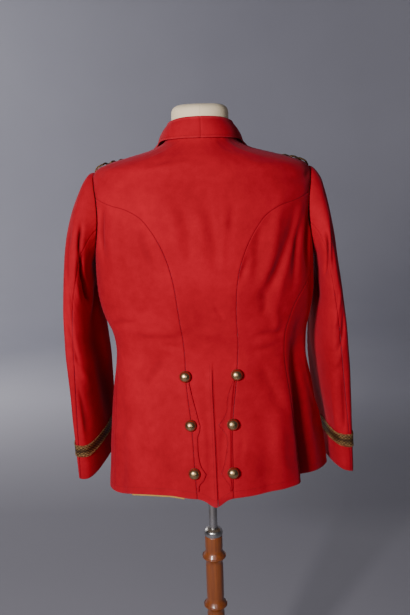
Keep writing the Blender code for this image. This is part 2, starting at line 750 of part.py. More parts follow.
def sleeve_ring(name, around, drop):
    """A sleeve's ring before it is drawn to the armhole; around is in radians."""
    table = SLEEVES[name]
    turn = np.radians(table("turn", drop))
    out_x = table("out_x", drop)
    out_z = table("out_z", drop)
    in_x = table("in_x", drop)
    in_z = table("in_z", drop)
    square = table("square", drop)
    reach = (np.abs(np.cos(around)) ** square + np.abs(np.sin(around)) ** square) ** (-1.0 / square)
    depth = table("half_depth", drop) * reach * np.cos(around)
    rise = reach * np.sin(around)
    x = (out_x + in_x) / 2 + depth * np.sin(turn) + rise * (out_x - in_x) / 2
    y = depth * np.cos(turn) - table("forward", drop)
    z = (out_z + in_z) / 2 + rise * (out_z - in_z) / 2 - depth * np.sin(np.radians(table("pitch", drop)))
    return np.stack(np.broadcast_arrays(x, y, z), axis=-1)


def sleeve_point(name, side, around, drop):
    """A point of a sleeve's outer face; drop is its distance down from the shoulder."""
    around, drop = np.broadcast_arrays(np.asarray(around, float), np.asarray(drop, float))
    ring = sleeve_ring(name, around, drop)
    place = armhole(1.0, np.degrees(around))
    seam = body_point(place[..., 0], place[..., 1])
    pull = (1.0 - ramp(0.0, SLEEVE_CROWN, drop))[..., None]
    points = ring + (seam - sleeve_ring(name, around, np.zeros(drop.shape))) * pull
    return points * np.array([side, 1.0, 1.0])


def sleeve_normal(name, side, around, drop):
    """The outward direction of a sleeve's face."""
    step = NUMERIC_STEP
    turned = sleeve_point(name, side, around + step, drop) - sleeve_point(name, side, around - step, drop)
    high = np.maximum(np.asarray(drop, float) - step, 0.0)
    low = np.asarray(drop, float) + step
    along = sleeve_point(name, side, around, low) - sleeve_point(name, side, around, high)
    return side * unit(np.cross(turned, along))


def sleeve_drops():
    """The levels down a sleeve at which it is cut."""
    crown = [SLEEVE_HEAD_GAP, 0.012, 0.026, 0.045, 0.073]
    arm = list(np.linspace(0.105, SLEEVE_LENGTH - LACE_HIGH, 11))
    cuff = [SLEEVE_LENGTH - LACE_LOW, SLEEVE_LENGTH - 0.5 * LACE_LOW, SLEEVE_LENGTH]
    return np.array(crown + arm + cuff)


def sleeve_wall(piece, name, side, angles, drops, lift=0.0, thickness=CLOTH, finish="cloth", closed=False):
    """A piece of sleeve between two seams, or a band right round it."""
    around = np.radians(angles)[None, :]
    drop = drops[:, None]
    normals = sleeve_normal(name, side, around, drop)
    outer = sleeve_point(name, side, around, drop) + normals * lift
    if not closed:
        outer = draw_in(outer)
    return wall(piece, outer, normals, thickness, finish, closed=closed)


def make_sleeve(name, side):
    """A two-piece sleeve with the lace round its cuff."""
    back, under, front = armhole_angles()
    angles = np.concatenate([back, under[1:], front[1:]])
    hind = BACK_ARMHOLE_CELLS + 3
    fore = hind + 8
    top_angles = np.concatenate([angles[fore:] + 360.0, angles[1 : hind + 1]])
    drops = sleeve_drops()
    sleeve_wall(f"sleeve_top_{name}", name, side, top_angles, drops)
    sleeve_wall(f"sleeve_under_{name}", name, side, angles[hind : fore + 1], drops)
    band = np.array([SLEEVE_LENGTH - LACE_HIGH, SLEEVE_LENGTH - LACE_LOW])
    sleeve_wall(
        f"cuff_lace_{name}", name, side, angles[:-1], band, LAY_GAP + LACE_CLOTH, LACE_CLOTH, "lace", True
    )


def turned(name, profile, sides, finish, place=(0.0, 0.0, 0.0), axis=(0.0, 0.0, 1.0)):
    """A turned piece: its profile of (radius, level) runs up its outside, from axis to axis."""
    axis = unit(np.array(axis, float))
    helper = np.array([1.0, 0.0, 0.0]) if abs(axis[0]) < 0.9 else np.array([0.0, 1.0, 0.0])
    first = unit(np.cross(helper, axis))
    second = np.cross(axis, first)
    place = np.array(place, float)
    vertices = []
    rings = []
    for radius, level in profile:
        if radius == 0.0:
            rings.append([len(vertices)])
            vertices.append(place + axis * level)
            continue
        rings.append(list(range(len(vertices), len(vertices) + sides)))
        for i in range(sides):
            angle = 2 * math.pi * i / sides
            spoke = first * math.cos(angle) + second * math.sin(angle)
            vertices.append(place + axis * level + spoke * radius)
    faces = []
    for low, high in zip(rings, rings[1:]):
        for i in range(sides):
            j = (i + 1) % sides
            if len(low) == 1:
                faces.append((low[0], high[j], high[i]))
            elif len(high) == 1:
                faces.append((low[i], low[j], high[0]))
            else:
                faces.append((low[i], low[j], high[j], high[i]))
    return add_object(name, vertices, faces, finish)


def tube_ring(name, profile, sides, finish):
    """A turned ring with a hole: its profile of (radius, level) closes on itself."""
    vertices = []
    for radius, level in profile:
        for i in range(sides):
            angle = 2 * math.pi * i / sides
            vertices.append((radius * math.cos(angle), radius * math.sin(angle), level))
    faces = []
    count = len(profile)
    for k in range(count):
        n = (k + 1) % count
        for i in range(sides):
            j = (i + 1) % sides
            faces.append((k * sides + i, k * sides + j, n * sides + j, n * sides + i))
    return add_object(name, vertices, faces, finish)


def button(name, place, direction, radius):
    """A half-ball button on its shank."""
    shank = 0.3 * radius
    seat = 0.0026
    rim = seat + 0.0012
    profile = [(0.0, 0.0), (shank, 0.0), (shank, seat), (radius, rim)]
    for angle in (math.radians(32.0), math.radians(63.0)):
        profile.append((radius * math.cos(angle), rim + BUTTON_DOME * radius * math.sin(angle)))
    profile.append((0.0, rim + BUTTON_DOME * radius))
    turned(name, profile, BUTTON_SIDES, "brass", place, direction)


def button_on_body(name, turn, height, lift, radius):
    """A button that stands on the body's surface, or on what lies there."""
    normal = body_normal(turn, height)
    button(name, body_point(turn, height) + normal * (lift + LAY_GAP), normal, radius)


def make_buttons():
    """Three pairs behind and one row in front."""
    for name, side in SIDES:
        column = 1 if side > 0 else 2
        for level, row in enumerate(BACK_BUTTONS):
            on_flap = level > 0 and side < 0
            lift = LAY_GAP + LACE_CLOTH if on_flap else 0.0003
            turn = back_turn(side * row[column], row[0])
            button_on_body(f"back_button_{name}_{level + 1}", turn, row[0], lift, BUTTON_RADIUS)
    for level, height in enumerate(FRONT_BUTTONS):
        button_on_body(f"front_button_{level + 1}", math.pi, height, -0.0001, BUTTON_RADIUS)


def shoulder_place(x):
    """Turn and height of the place x metres out on the shoulder's ridge."""
    heights = np.linspace(NECK_SEAM, ARMHOLE_TOP, 60)
    share = (x - CORD_INNER_X) / (CORD_OUTER_X - CORD_INNER_X)
    turn = math.radians(CORD_INNER_TURN + (CORD_OUTER_TURN - CORD_INNER_TURN) * share)
    return turn, float(np.interp(x, body_point(turn, heights)[:, 0], heights))


def shoulder_frame(x, side):
    """The place on the shoulder, its outward direction, and the direction across the strap."""
    turn, height = shoulder_place(x)
    turn = turn * side
    normal = body_normal(turn, height)
    nearer, farther = (shoulder_place(x + shift) for shift in (-0.004, 0.004))
    ahead = body_point(nearer[0] * side, nearer[1]) - body_point(farther[0] * side, farther[1])
    across = unit(np.cross(unit(ahead), normal))
    return body_point(turn, height), normal, across


def make_shoulder_cord(name, side):
    """One gold cord, doubled at the sleeve head and plaited toward the collar, with its button."""
    lift = CORD_RADIUS + LAY_GAP
    lay = 2 * CORD_RADIUS + LAY_GAP
    samples = 25
    path = []
    for strand in (1.0, -1.0):
        ordered = range(samples) if strand > 0 else range(samples - 1, -1, -1)
        for i in ordered:
            share = (i + 0.5) / samples
            phase = math.pi * CORD_CROSSINGS * share
            x = CORD_INNER_X + (CORD_OUTER_X - CORD_INNER_X) * share
            point, normal, across = shoulder_frame(x, side)
            swing = strand * CORD_SWING * math.sin(phase)
            if share > 1.0 - 0.5 / CORD_CROSSINGS:
                swing = strand * CORD_SWING
            weave = strand * math.cos(phase) * 0.5 * lay * (share < 1.0 - 0.5 / CORD_CROSSINGS)
            path.append(point + normal * (lift + 0.5 * lay + weave) + across * swing)
        if strand > 0:
            for angle in (54.0, 18.0, -18.0, -54.0):
                bend = math.radians(angle)
                x = CORD_OUTER_X + 0.7 * CORD_SWING * math.cos(bend)
                point, normal, across = shoulder_frame(min(x, 0.2125), side)
                path.append(point + normal * (lift + 0.5 * lay) + across * CORD_SWING * math.sin(bend))
    tube(f"shoulder_cord_{name}", np.array(path), CORD_RADIUS, 5, "lace")
    turn, height = shoulder_place(CORD_INNER_X - SMALL_BUTTON_RADIUS - CORD_RADIUS)
    button_on_body(f"shoulder_button_{name}", turn * side, height, 0.0, SMALL_BUTTON_RADIUS)


def tube(name, path, radius, sides, finish):
    """A round cord along a path, closed at its ends."""
    ahead = unit(np.gradient(path, axis=0))
    spoke = np.array([0.0, 0.0, 1.0])
    vertices = []
    for point, direction in zip(path, ahead):
        spoke = unit(spoke - direction * np.dot(spoke, direction))
        other = np.cross(direction, spoke)
        for i in range(sides):
            angle = 2 * math.pi * i / sides
            vertices.append(point + (spoke * math.cos(angle) + other * math.sin(angle)) * radius)
    faces = []
    for k in range(len(path) - 1):
        for i in range(sides):
            j = (i + 1) % sides
            faces.append((k * sides + i, k * sides + j, (k + 1) * sides + j, (k + 1) * sides + i))
    faces.append(tuple(reversed(range(sides))))
    faces.append(tuple((len(path) - 1) * sides + i for i in range(sides)))
    return add_object(name, vertices, faces, finish)


def form_ring(turns, level):
    """A level ring of the form, close inside the jacket at the shoulders and slimmer below."""
    inset = FORM_INSET + FORM_HOLLOW * ramp(1.350, 1.250, level)
    slim = 1.0 - FORM_SLIM * ramp(FORM_SEAT, FORM_SEAT - 0.020, level)
    ring = body_point(turns, level) - body_normal(turns, level) * inset
    return ring * np.array([slim, slim, 1.0])


def make_form():
    """The limbless dress form with its round neck, one whole body."""
    turns = np.linspace(0.0, 2 * math.pi, FORM_CELLS, endpoint=False)
    levels = np.concatenate(
        [
            np.linspace(FORM_FOOT, 1.320, 13),
            [1.345, 1.360, 1.370, 1.378, 1.384, 1.390, 1.397],
        ]
    )
    rings = [form_ring(turns, level) for level in levels]
    foot = rings[0] * 0.92
    foot[:, 2] = FORM_FOOT - FORM_EDGE
    rings.insert(0, foot)
    neck = ((0.0645, 1.402), (0.0580, 1.420), (NECK_RADIUS, 1.440), (NECK_RADIUS, NECK_TOP - 0.020))
    cap = (
        (NECK_RADIUS - 0.0030, NECK_TOP - 0.011),
        (NECK_RADIUS - 0.0105, NECK_TOP - 0.0035),
        (NECK_RADIUS - 0.0220, NECK_TOP),
    )
    for radius, level in neck + cap:
        ring = np.stack([radius * np.sin(turns), radius * np.cos(turns), np.full(FORM_CELLS, level)], axis=-1)
        rings.append(ring)
    vertices = np.concatenate(rings)
    faces = []
    for k in range(len(rings) - 1):
        for i in range(FORM_CELLS):
            j = (i + 1) % FORM_CELLS
            low = k * FORM_CELLS
            high = low + FORM_CELLS
            faces.append((low + i, high + i, high + j, low + j))
    faces.append(tuple(range(FORM_CELLS)))
    faces.append(tuple(reversed(range(len(vertices) - FORM_CELLS, len(vertices)))))
    add_object("dress_form", vertices, faces, "form")


def make_stand():
    """Rod, ferrule, bamboo-turned column and round base, one on the other."""
    form_base = FORM_FOOT - FORM_EDGE
    rod_foot = COLUMN_TOP + LAY_GAP
    rod_top = form_base - LAY_GAP
    rod = [(0.0, rod_foot), (ROD_RADIUS, rod_foot), (ROD_RADIUS, rod_top), (0.0, rod_top)]
    turned("stand_rod", rod, 20, "nickel")
    hole = ROD_RADIUS + LAY_GAP
    low = COLUMN_TOP + 0.0003
    high = low + FERRULE_HEIGHT
    ferrule = [
        (hole, low),
        (COLUMN_RADIUS + 0.0005, low),
        (COLUMN_RADIUS + 0.0010, low + 0.004),
        (COLUMN_RADIUS - 0.0010, high - 0.004),
        (ROD_RADIUS + 0.0035, high),
        (hole, high),
    ]
    tube_ring("stand_ferrule", ferrule, 20, "nickel")
    profile = [(0.0, BASE_HEIGHT + 0.0003), (COLUMN_RADIUS + 0.004, BASE_HEIGHT + 0.0003)]
    profile.append((COLUMN_RADIUS + 0.004, BASE_HEIGHT + 0.020))
    profile.append((COLUMN_RADIUS, BASE_HEIGHT + 0.026))
    for knuckle in (3, 2, 1, 0):
        level = KNUCKLE_TOP - KNUCKLE_PITCH * knuckle
        profile.append((COLUMN_RADIUS - 0.0008, level - 0.012))
        profile.append((COLUMN_RADIUS + KNUCKLE_RISE, level - 0.005))
        profile.append((COLUMN_RADIUS + 0.0006, level))
        profile.append((COLUMN_RADIUS + KNUCKLE_RISE, level + 0.005))
        profile.append((COLUMN_RADIUS - 0.0008, level + 0.012))
    profile.append((COLUMN_RADIUS, COLUMN_TOP - 0.004))
    profile.append((COLUMN_RADIUS - 0.002, COLUMN_TOP))
    profile.append((0.0, COLUMN_TOP))
    turned("stand_column", profile, 18, "wood")
    base = [
        (0.0, 0.0),
        (BASE_RADIUS - 0.006, 0.0),
        (BASE_RADIUS, 0.008),
        (BASE_RADIUS, 0.018),
        (BASE_RADIUS - 0.010, 0.026),
        (BASE_RADIUS - 0.028, 0.028),
        (0.060, 0.038),
        (0.040, BASE_HEIGHT),
        (0.0, BASE_HEIGHT),
    ]
    turned("stand_base", base, 36, "wood")


def main():
    """Clears the scene and makes every piece."""
    for old in list(bpy.data.objects):
        bpy.data.objects.remove(old, do_unlink=True)
    make_back()
    make_vent_underlap()
    make_hem_lining()
    make_collar()
    for name, side in SIDES:
        make_side(name, side)
        make_front(name, side)
        make_lapel(name, side)
        make_sleeve(name, side)
        make_flap(name, side)
        make_shoulder_cord(name, side)
    make_buttons()
    make_form()
    make_stand()
    total = sum(len(item.data.loop_triangles) or len(item.data.polygons) for item in bpy.data.objects)
    print("pieces:", len(bpy.data.objects), "faces:", total)


main()
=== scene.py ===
# %% [markdown]
# # A red walking-out jacket on its dress form
#
# This script dresses a packed CAD model. The model is already right in its sizes: a jacket cut
# in panels, a limbless form inside it, and a turned stand below. What it lacks is everything that
# makes cloth look like cloth. So each panel is made again here from the same surface, on a grid
# of about four millimetres, with its creases, its rolled seams, its stitches and its nap.
#
# The frame is in metres. The floor is at height 0, the back of the jacket faces +Y, and the
# wearer's left is +X. The photograph shows the back, so its left is the wearer's left too.

import json
import math

import bpy
import numpy as np
from mathutils import Matrix, Vector

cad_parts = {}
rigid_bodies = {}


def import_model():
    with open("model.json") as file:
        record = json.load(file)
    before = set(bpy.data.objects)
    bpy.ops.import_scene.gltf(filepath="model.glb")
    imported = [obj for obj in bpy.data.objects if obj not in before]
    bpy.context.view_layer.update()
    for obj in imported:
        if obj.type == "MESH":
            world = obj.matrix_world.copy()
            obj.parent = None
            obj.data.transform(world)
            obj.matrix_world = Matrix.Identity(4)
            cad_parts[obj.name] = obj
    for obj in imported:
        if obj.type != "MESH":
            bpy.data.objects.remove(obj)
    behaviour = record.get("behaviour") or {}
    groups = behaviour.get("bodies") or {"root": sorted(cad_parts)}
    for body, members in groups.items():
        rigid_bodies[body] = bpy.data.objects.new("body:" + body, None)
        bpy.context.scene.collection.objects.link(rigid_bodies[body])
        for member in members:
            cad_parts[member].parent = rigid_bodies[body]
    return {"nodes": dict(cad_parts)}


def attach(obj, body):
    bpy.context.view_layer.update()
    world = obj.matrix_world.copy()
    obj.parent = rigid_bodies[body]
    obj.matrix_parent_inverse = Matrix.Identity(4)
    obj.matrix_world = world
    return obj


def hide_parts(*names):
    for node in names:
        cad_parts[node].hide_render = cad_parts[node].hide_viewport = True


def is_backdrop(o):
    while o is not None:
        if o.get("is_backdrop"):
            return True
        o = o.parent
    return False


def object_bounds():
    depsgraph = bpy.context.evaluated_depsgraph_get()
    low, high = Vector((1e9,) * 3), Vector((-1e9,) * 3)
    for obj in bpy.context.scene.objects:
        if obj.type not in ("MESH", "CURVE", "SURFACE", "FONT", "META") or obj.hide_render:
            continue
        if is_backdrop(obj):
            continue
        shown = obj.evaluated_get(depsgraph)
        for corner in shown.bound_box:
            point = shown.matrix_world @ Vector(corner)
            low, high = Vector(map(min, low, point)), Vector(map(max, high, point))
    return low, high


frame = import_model()
cad_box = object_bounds()
print("nodes in the frame:", len(frame["nodes"]), "box:", [round(v, 3) for v in cad_box[1] - cad_box[0]])

# %% [markdown]
# ## The camera
#
# The photograph was taken from behind, from 1.42 m above the floor, and looks 12 degrees down. It
# also leans a little: the stand's rod drifts to the right as it goes down. A camera that is
# rolled by 1.9 degrees gives the same lean without bending the object. The lens follows from a
# focal length of 800 pixels in a picture 615 pixels high.

# %% Camera
CAMERA_PLACE = Vector((0.0023, 1.6, 1.42))
CAMERA_TILT = math.radians(12.0)
CAMERA_ROLL = math.radians(1.9)
FOCAL_PIXELS = 800.0
PICTURE_HEIGHT = 615.0
SENSOR = 36.0

ahead = Vector((0.0, -math.cos(CAMERA_TILT), -math.sin(CAMERA_TILT)))
level_right = Vector((-1.0, 0.0, 0.0))
level_up = level_right.cross(ahead)
right = level_right * math.cos(CAMERA_ROLL) - level_up * math.sin(CAMERA_ROLL)
up = level_right * math.sin(CAMERA_ROLL) + level_up * math.cos(CAMERA_ROLL)
lens = bpy.data.cameras.new("photo_camera")
lens.sensor_width = SENSOR
lens.lens = SENSOR * FOCAL_PIXELS / PICTURE_HEIGHT
lens.clip_end = 40.0
camera = bpy.data.objects.new("photo_camera", lens)
turn_matrix = Matrix((right, up, -ahead)).transposed()
camera.matrix_world = Matrix.Translation(CAMERA_PLACE) @ turn_matrix.to_4x4()
bpy.context.scene.collection.objects.link(camera)
bpy.context.scene.camera = camera
print("lens", round(lens.lens, 2), "mm")

# %% [markdown]
# ## Small tools for shapes
#
# Two habits keep this file short. A *table with named columns* holds the measured sections, and
# it is read as a smooth curve between its rows. And the meshes go through one function that
# writes whole arrays of points at once, which is far quicker in Blender than one point at a time.


# %% Curves and arrays
class Table:
    """A short table with named columns, read as a smooth curve between its rows."""

    def __init__(self, names, rows):
        self.columns = {name: np.array(values, float) for name, values in zip(names, zip(*rows))}
        self.key = self.columns[names[0]]

    def __call__(self, name, at):
        keys = self.key
        values = self.columns[name]
        slopes = np.gradient(values, keys)
        at = np.clip(at, keys[0], keys[-1])
        row = np.clip(np.searchsorted(keys, at) - 1, 0, len(keys) - 2)
        width = keys[row + 1] - keys[row]
        t = (at - keys[row]) / width
        start = (2 * t**3 - 3 * t**2 + 1) * values[row] + (t**3 - 2 * t**2 + t) * width * slopes[row]
        end = (3 * t**2 - 2 * t**3) * values[row + 1] + (t**3 - t**2) * width * slopes[row + 1]
        return start + end


def unit(vectors):
    """Vectors of length one."""
    return vectors / np.maximum(np.linalg.norm(vectors, axis=-1, keepdims=True), 1e-12)


def ramp(start, end, at):
    """Rises softly from 0 at start to 1 at end, whichever is larger."""
    t = np.clip((np.asarray(at, float) - start) / (end - start), 0.0, 1.0)
    return t * t * (3.0 - 2.0 * t)


def bell(at, width):
    """1 in the middle, and close to 0 beyond twice the width."""
    return np.exp(-((at / width) ** 2))


def run_along(points, weights=1.0):
    """How far along a line each of its points lies."""
    steps = np.linalg.norm(np.diff(points, axis=0) * weights, axis=1)
    return np.concatenate([[0.0], np.cumsum(steps)])


def smooth_line(points, cells, weights=1.0):
    """A smooth curve through points, cut in cells of even length."""
    points = np.array(points, float)
    along = run_along(points, weights)
    names = ["along"] + [str(k) for k in range(points.shape[1])]
    curve = Table(names, [(s, *p) for s, p in zip(along / along[-1], points)])
    at = np.linspace(0.0, 1.0, cells + 1)
    return np.stack([curve(name, at) for name in names[1:]], axis=-1)


print("a soft step is half way up at", float(ramp(0.0, 1.0, 0.5)))


# %% One way to make every mesh
def new_piece(name, vertices, quads, materials, triangles=None, finish_index=None, uv=None, marks=None):
    """A mesh object from arrays. uv and marks have one row for each vertex."""
    quads = np.asarray(quads, int).reshape(-1, 4)
    triangles = np.asarray([] if triangles is None else triangles, int).reshape(-1, 3)
    corners = np.concatenate([quads.ravel(), triangles.ravel()])
    sizes = np.concatenate([np.full(len(quads), 4), np.full(len(triangles), 3)])
    mesh = bpy.data.meshes.new(name)
    mesh.vertices.add(len(vertices))
    mesh.vertices.foreach_set("co", np.asarray(vertices, float).ravel())
    mesh.loops.add(len(corners))
    mesh.loops.foreach_set("vertex_index", corners.astype(np.int32))
    mesh.polygons.add(len(sizes))
    mesh.polygons.foreach_set("loop_start", (np.cumsum(sizes) - sizes).astype(np.int32))
    mesh.update(calc_edges=True)
    for material in materials:
        mesh.materials.append(material)
    if finish_index is not None:
        mesh.polygons.foreach_set("material_index", np.asarray(finish_index, np.int32))
    if uv is not None:
        layer = mesh.uv_layers.new(name="UVMap")
        layer.data.foreach_set("uv", np.asarray(uv, float)[corners].ravel())
    for label, values in (marks or {}).items():
        layer = mesh.attributes.new(label, "FLOAT", "POINT")
        layer.data.foreach_set("value", np.asarray(values, float).ravel())
    mesh.shade_smooth()
    made = bpy.data.objects.new(name, mesh)
    bpy.context.scene.collection.objects.link(made)
    return made

# %% [markdown]
# ## Writing materials
#
# A material is a small graph: coordinates feed noise, noise feeds a colour ramp and a bump. The
# class below only shortens the typing. Two rules matter for a model that others will reuse. The
# coordinates come from the object or from its own UV map, never from the camera, so the pattern
# stays on the cloth in every view. And a value that is the same all over, such as the sheen, is
# set straight on the shader, because an export drops it when it arrives through a wire.


# %% Material helper
def add_node(tree, kind, inputs=(), **settings):
    """A node in a tree: its settings, and its inputs given as values or as sockets to join."""
    made = tree.nodes.new(kind)
    for label, value in settings.items():
        setattr(made, label, value)
    for socket, value in dict(inputs).items():
        if isinstance(value, bpy.types.NodeSocket):
            tree.links.new(value, made.inputs[socket])
        else:
            made.inputs[socket].default_value = value
    return made


class Finish:
    """A material in the making: its shader, and short ways to add nodes and join them."""

    def __init__(self, name, **constants):
        self.material = bpy.data.materials.new(name)
        self.material.use_nodes = True
        self.tree = self.material.node_tree
        self.shader = self.tree.nodes["Principled BSDF"]
        for socket, value in constants.items():
            self.shader.inputs[socket.replace("_", " ")].default_value = value

    def add(self, kind, inputs=(), **settings):
        return add_node(self.tree, kind, inputs, **settings)

    def place(self):
        return self.add("ShaderNodeTexCoord").outputs["Object"]

    def uv(self):
        return self.add("ShaderNodeUVMap", uv_map="UVMap").outputs["UV"]

    def stretched(self, vector, scale, turn=(0.0, 0.0, 0.0)):
        inputs = {"Vector": vector, "Scale": scale, "Rotation": turn}
        return self.add("ShaderNodeMapping", inputs).outputs[0]

    def turned(self, vector, degrees):
        return self.stretched(vector, (1.0, 1.0, 1.0), (0.0, 0.0, math.radians(degrees)))

    def noise(self, vector, scale, detail=2.0, roughness=0.5):
        inputs = {"Vector": vector, "Scale": scale, "Detail": detail, "Roughness": roughness}
        return self.add("ShaderNodeTexNoise", inputs).outputs[0]

    def wave(self, vector, scale, bands="X"):
        inputs = {"Vector": vector, "Scale": scale}
        return self.add("ShaderNodeTexWave", inputs, bands_direction=bands).outputs["Fac"]

    def mark(self, label):
        return self.add("ShaderNodeAttribute", attribute_name=label).outputs["Fac"]

    def math(self, operation, first, second=0.0):
        return self.add("ShaderNodeMath", {0: first, 1: second}, operation=operation).outputs[0]

    def span(self, value, low, high, out_low=0.0, out_high=1.0):
        inputs = {"Value": value, "From Min": low, "From Max": high, "To Min": out_low, "To Max": out_high}
        return self.add("ShaderNodeMapRange", inputs).outputs[0]

    def weighted(self, *parts):
        total = 0.0
        for value, weight in parts:
            total = self.math("ADD", self.math("MULTIPLY", value, weight), total)
        return total

    def blend(self, factor, first, second):
        made = self.add("ShaderNodeMix", {0: factor}, data_type="RGBA")
        for socket, value in ((made.inputs[6], first), (made.inputs[7], second)):
            if isinstance(value, bpy.types.NodeSocket):
                self.tree.links.new(value, socket)
            else:
                socket.default_value = (*value, 1.0)
        return made.outputs[2]

    def where(self, label, reach, most, colour, target):
        return self.blend(self.span(self.mark(label), *reach, 0.0, most), colour, target)

    def bump(self, height, distance, strength, over=None):
        inputs = {"Height": height, "Distance": distance, "Strength": strength}
        if over is not None:
            inputs["Normal"] = over
        return self.add("ShaderNodeBump", inputs).outputs[0]

    def done(self, **outputs):
        for socket, value in outputs.items():
            self.tree.links.new(value, self.shader.inputs[socket.replace("_", " ")])
        return self.material


def darker(colour, share):
    """The same colour with less light in it."""
    return tuple(share * channel for channel in colour)


print("ways to build a finish:", ", ".join(name for name in vars(Finish) if name[0] != "_"))

# %% [markdown]
# ## Red wool broadcloth
#
# Broadcloth is woven, then shrunk and brushed until the threads vanish under a short nap. So it
# shows no weave: what it has is a faint cloudiness, a soft dull sheen where the nap catches light
# at a slant, and a dusty look. The sheen is a constant of the shader. Colour follows three
# noises, from a hand's breadth down to single hairs, and three painted marks on the mesh: *seam*,
# where cloth dips into a seam and holds dirt, and also painted shadow along the vent's lap edge and
# the flaps' edges; *deep*, painted shade in creases and in the valleys of the large folds; and
# *edge*, where a folded edge is rubbed paler.


# %% Wool
def make_wool(name, deep, light, rubbed, dirt_and_painted_shadow):
    wool = Finish(
        name,
        Roughness=0.86,
        Specular_IOR_Level=0.16,
        Sheen_Weight=0.13,
        Sheen_Roughness=0.42,
        Sheen_Tint=(1.0, 0.28, 0.42, 1.0),
    )
    place = wool.place()
    cloudy = wool.noise(place, 8.0, 4.0, 0.62)
    mottled = wool.noise(place, 62.0, 5.0, 0.65)
    nap = wool.noise(place, 950.0, 3.0, 0.7)
    hairs = wool.noise(wool.stretched(place, (1.0, 1.0, 0.35)), 2600.0, 1.0, 0.6)
    shade = wool.weighted((cloudy, 0.55), (mottled, 0.30), (nap, 0.28))
    colour = wool.blend(wool.span(shade, 0.40, 0.72), deep, light)
    # Dirt in the seams, and painted shadow along the vent's lap edge and the flaps' edges
    colour = wool.where("seam", (0.15, 1.0), 0.58, colour, dirt_and_painted_shadow)
    # Painted shade in creases and in the valleys of the large folds
    colour = wool.where("deep", (0.30, 1.0), 0.72, colour, darker(deep, 0.25))
    on_edge = wool.math("MULTIPLY", wool.span(wool.mark("edge"), 0.3, 1.0, 0.0, 0.55), mottled)
    colour = wool.blend(on_edge, colour, rubbed)
    height = wool.weighted((nap, 0.6), (hairs, 0.4))
    soft = wool.bump(mottled, 0.0011, 0.28)
    return wool.done(Base_Color=colour, Normal=wool.bump(height, 0.00028, 0.55, soft))


red_wool = make_wool(
    "red_wool",
    deep=(0.330, 0.0020, 0.0100),
    light=(0.490, 0.0042, 0.0175),
    rubbed=(0.62, 0.040, 0.058),
    dirt_and_painted_shadow=(0.165, 0.0025, 0.0060),
)
print("made", red_wool.name)

# %% [markdown]
# ## Lining, thread and the form's cotton
#
# Lining and cotton are woven and stay flat, so their weave is worth showing close up. Twill has
# diagonal ribs: one wave texture, turned by 55 degrees on the UV map, which is in metres. Plain
# cotton has two crossed waves. The waves only reach the bump and a little of the colour. Sewing
# thread is so thin that a fine noise of two reds is enough.


# %% Woven finishes
def make_woven(name, deep, light, threads, twill=False):
    cloth = Finish(name, Roughness=0.78, Specular_IOR_Level=0.25, Sheen_Weight=0.12)
    uv = cloth.uv()
    place = cloth.place()
    soil = cloth.noise(place, 14.0, 5.0, 0.6)
    slub = cloth.noise(cloth.stretched(uv, (60.0, 900.0, 1.0)), 1.0, 2.0, 0.5)
    if twill:
        weave = cloth.wave(cloth.turned(uv, 55.0), threads)
    else:
        across = cloth.wave(uv, threads, bands="X")
        along = cloth.wave(uv, threads, bands="Y")
        weave = cloth.math("MAXIMUM", across, along)
    colour = cloth.blend(cloth.math("MULTIPLY", weave, 0.5), deep, light)
    colour = cloth.blend(cloth.span(slub, 0.35, 0.75, 0.0, 0.35), colour, light)
    colour = cloth.blend(cloth.span(soil, 0.45, 0.80, 0.0, 0.25), colour, deep)
    colour = cloth.where("seam", (0.2, 1.0), 0.6, colour, darker(deep, 0.45))
    return cloth.done(Base_Color=colour, Normal=cloth.bump(weave, 0.00018, 0.5))


yellow_twill = make_woven("yellow_twill", (0.46, 0.27, 0.06), (0.66, 0.43, 0.11), 260.0, twill=True)
form_cotton = make_woven("form_cotton", (0.93, 0.75, 0.48), (0.99, 0.86, 0.60), 420.0)
thread = Finish("red_thread", Roughness=0.55, Specular_IOR_Level=0.35)
twist = thread.noise(thread.stretched(thread.place(), (900.0, 900.0, 400.0)), 1.0, 1.0)
thread_colour = thread.blend(twist, (0.105, 0.002, 0.004), (0.21, 0.005, 0.008))
red_thread = thread.done(Base_Color=thread_colour)
print("made", yellow_twill.name, form_cotton.name, red_thread.name)

# %% [markdown]
# ## Gold lace, brass, nickel and varnish
#
# The metal here is old. Bright gilt survives only on the tops of the buttons, and brown tarnish
# lies in the hollows and round the rims. A noise mixes the two, and the mark *hollow*, painted on
# the mesh, pushes it toward the brown. The lace is thread wrapped in metal: half metallic, with a
# figured weave of lozenges in its UV map.


# %% Metals
def make_brass(name, bright, tarnish, scale):
    metal = Finish(name, Metallic=1.0)
    place = metal.place()
    patches = metal.noise(place, scale, 5.0, 0.65)
    specks = metal.noise(place, scale * 9.0, 3.0, 0.6)
    dull = metal.weighted((metal.span(patches, 0.40, 0.66, 0.0, 0.62), 1.0), (specks, 0.18))
    dull = metal.math("MAXIMUM", dull, metal.span(metal.mark("hollow"), 0.1, 0.9, 0.0, 0.96))
    colour = metal.blend(dull, bright, tarnish)
    rough = metal.span(dull, 0.0, 1.0, 0.22, 0.56)
    return metal.done(Base_Color=colour, Roughness=rough, Normal=metal.bump(specks, 0.00012, 0.35))


button_brass = make_brass("button_brass", (0.74, 0.50, 0.25), (0.085, 0.050, 0.028), 150.0)
nickel = make_brass("nickel", (0.60, 0.585, 0.56), (0.30, 0.28, 0.26), 40.0)
print("made", button_brass.name, nickel.name)


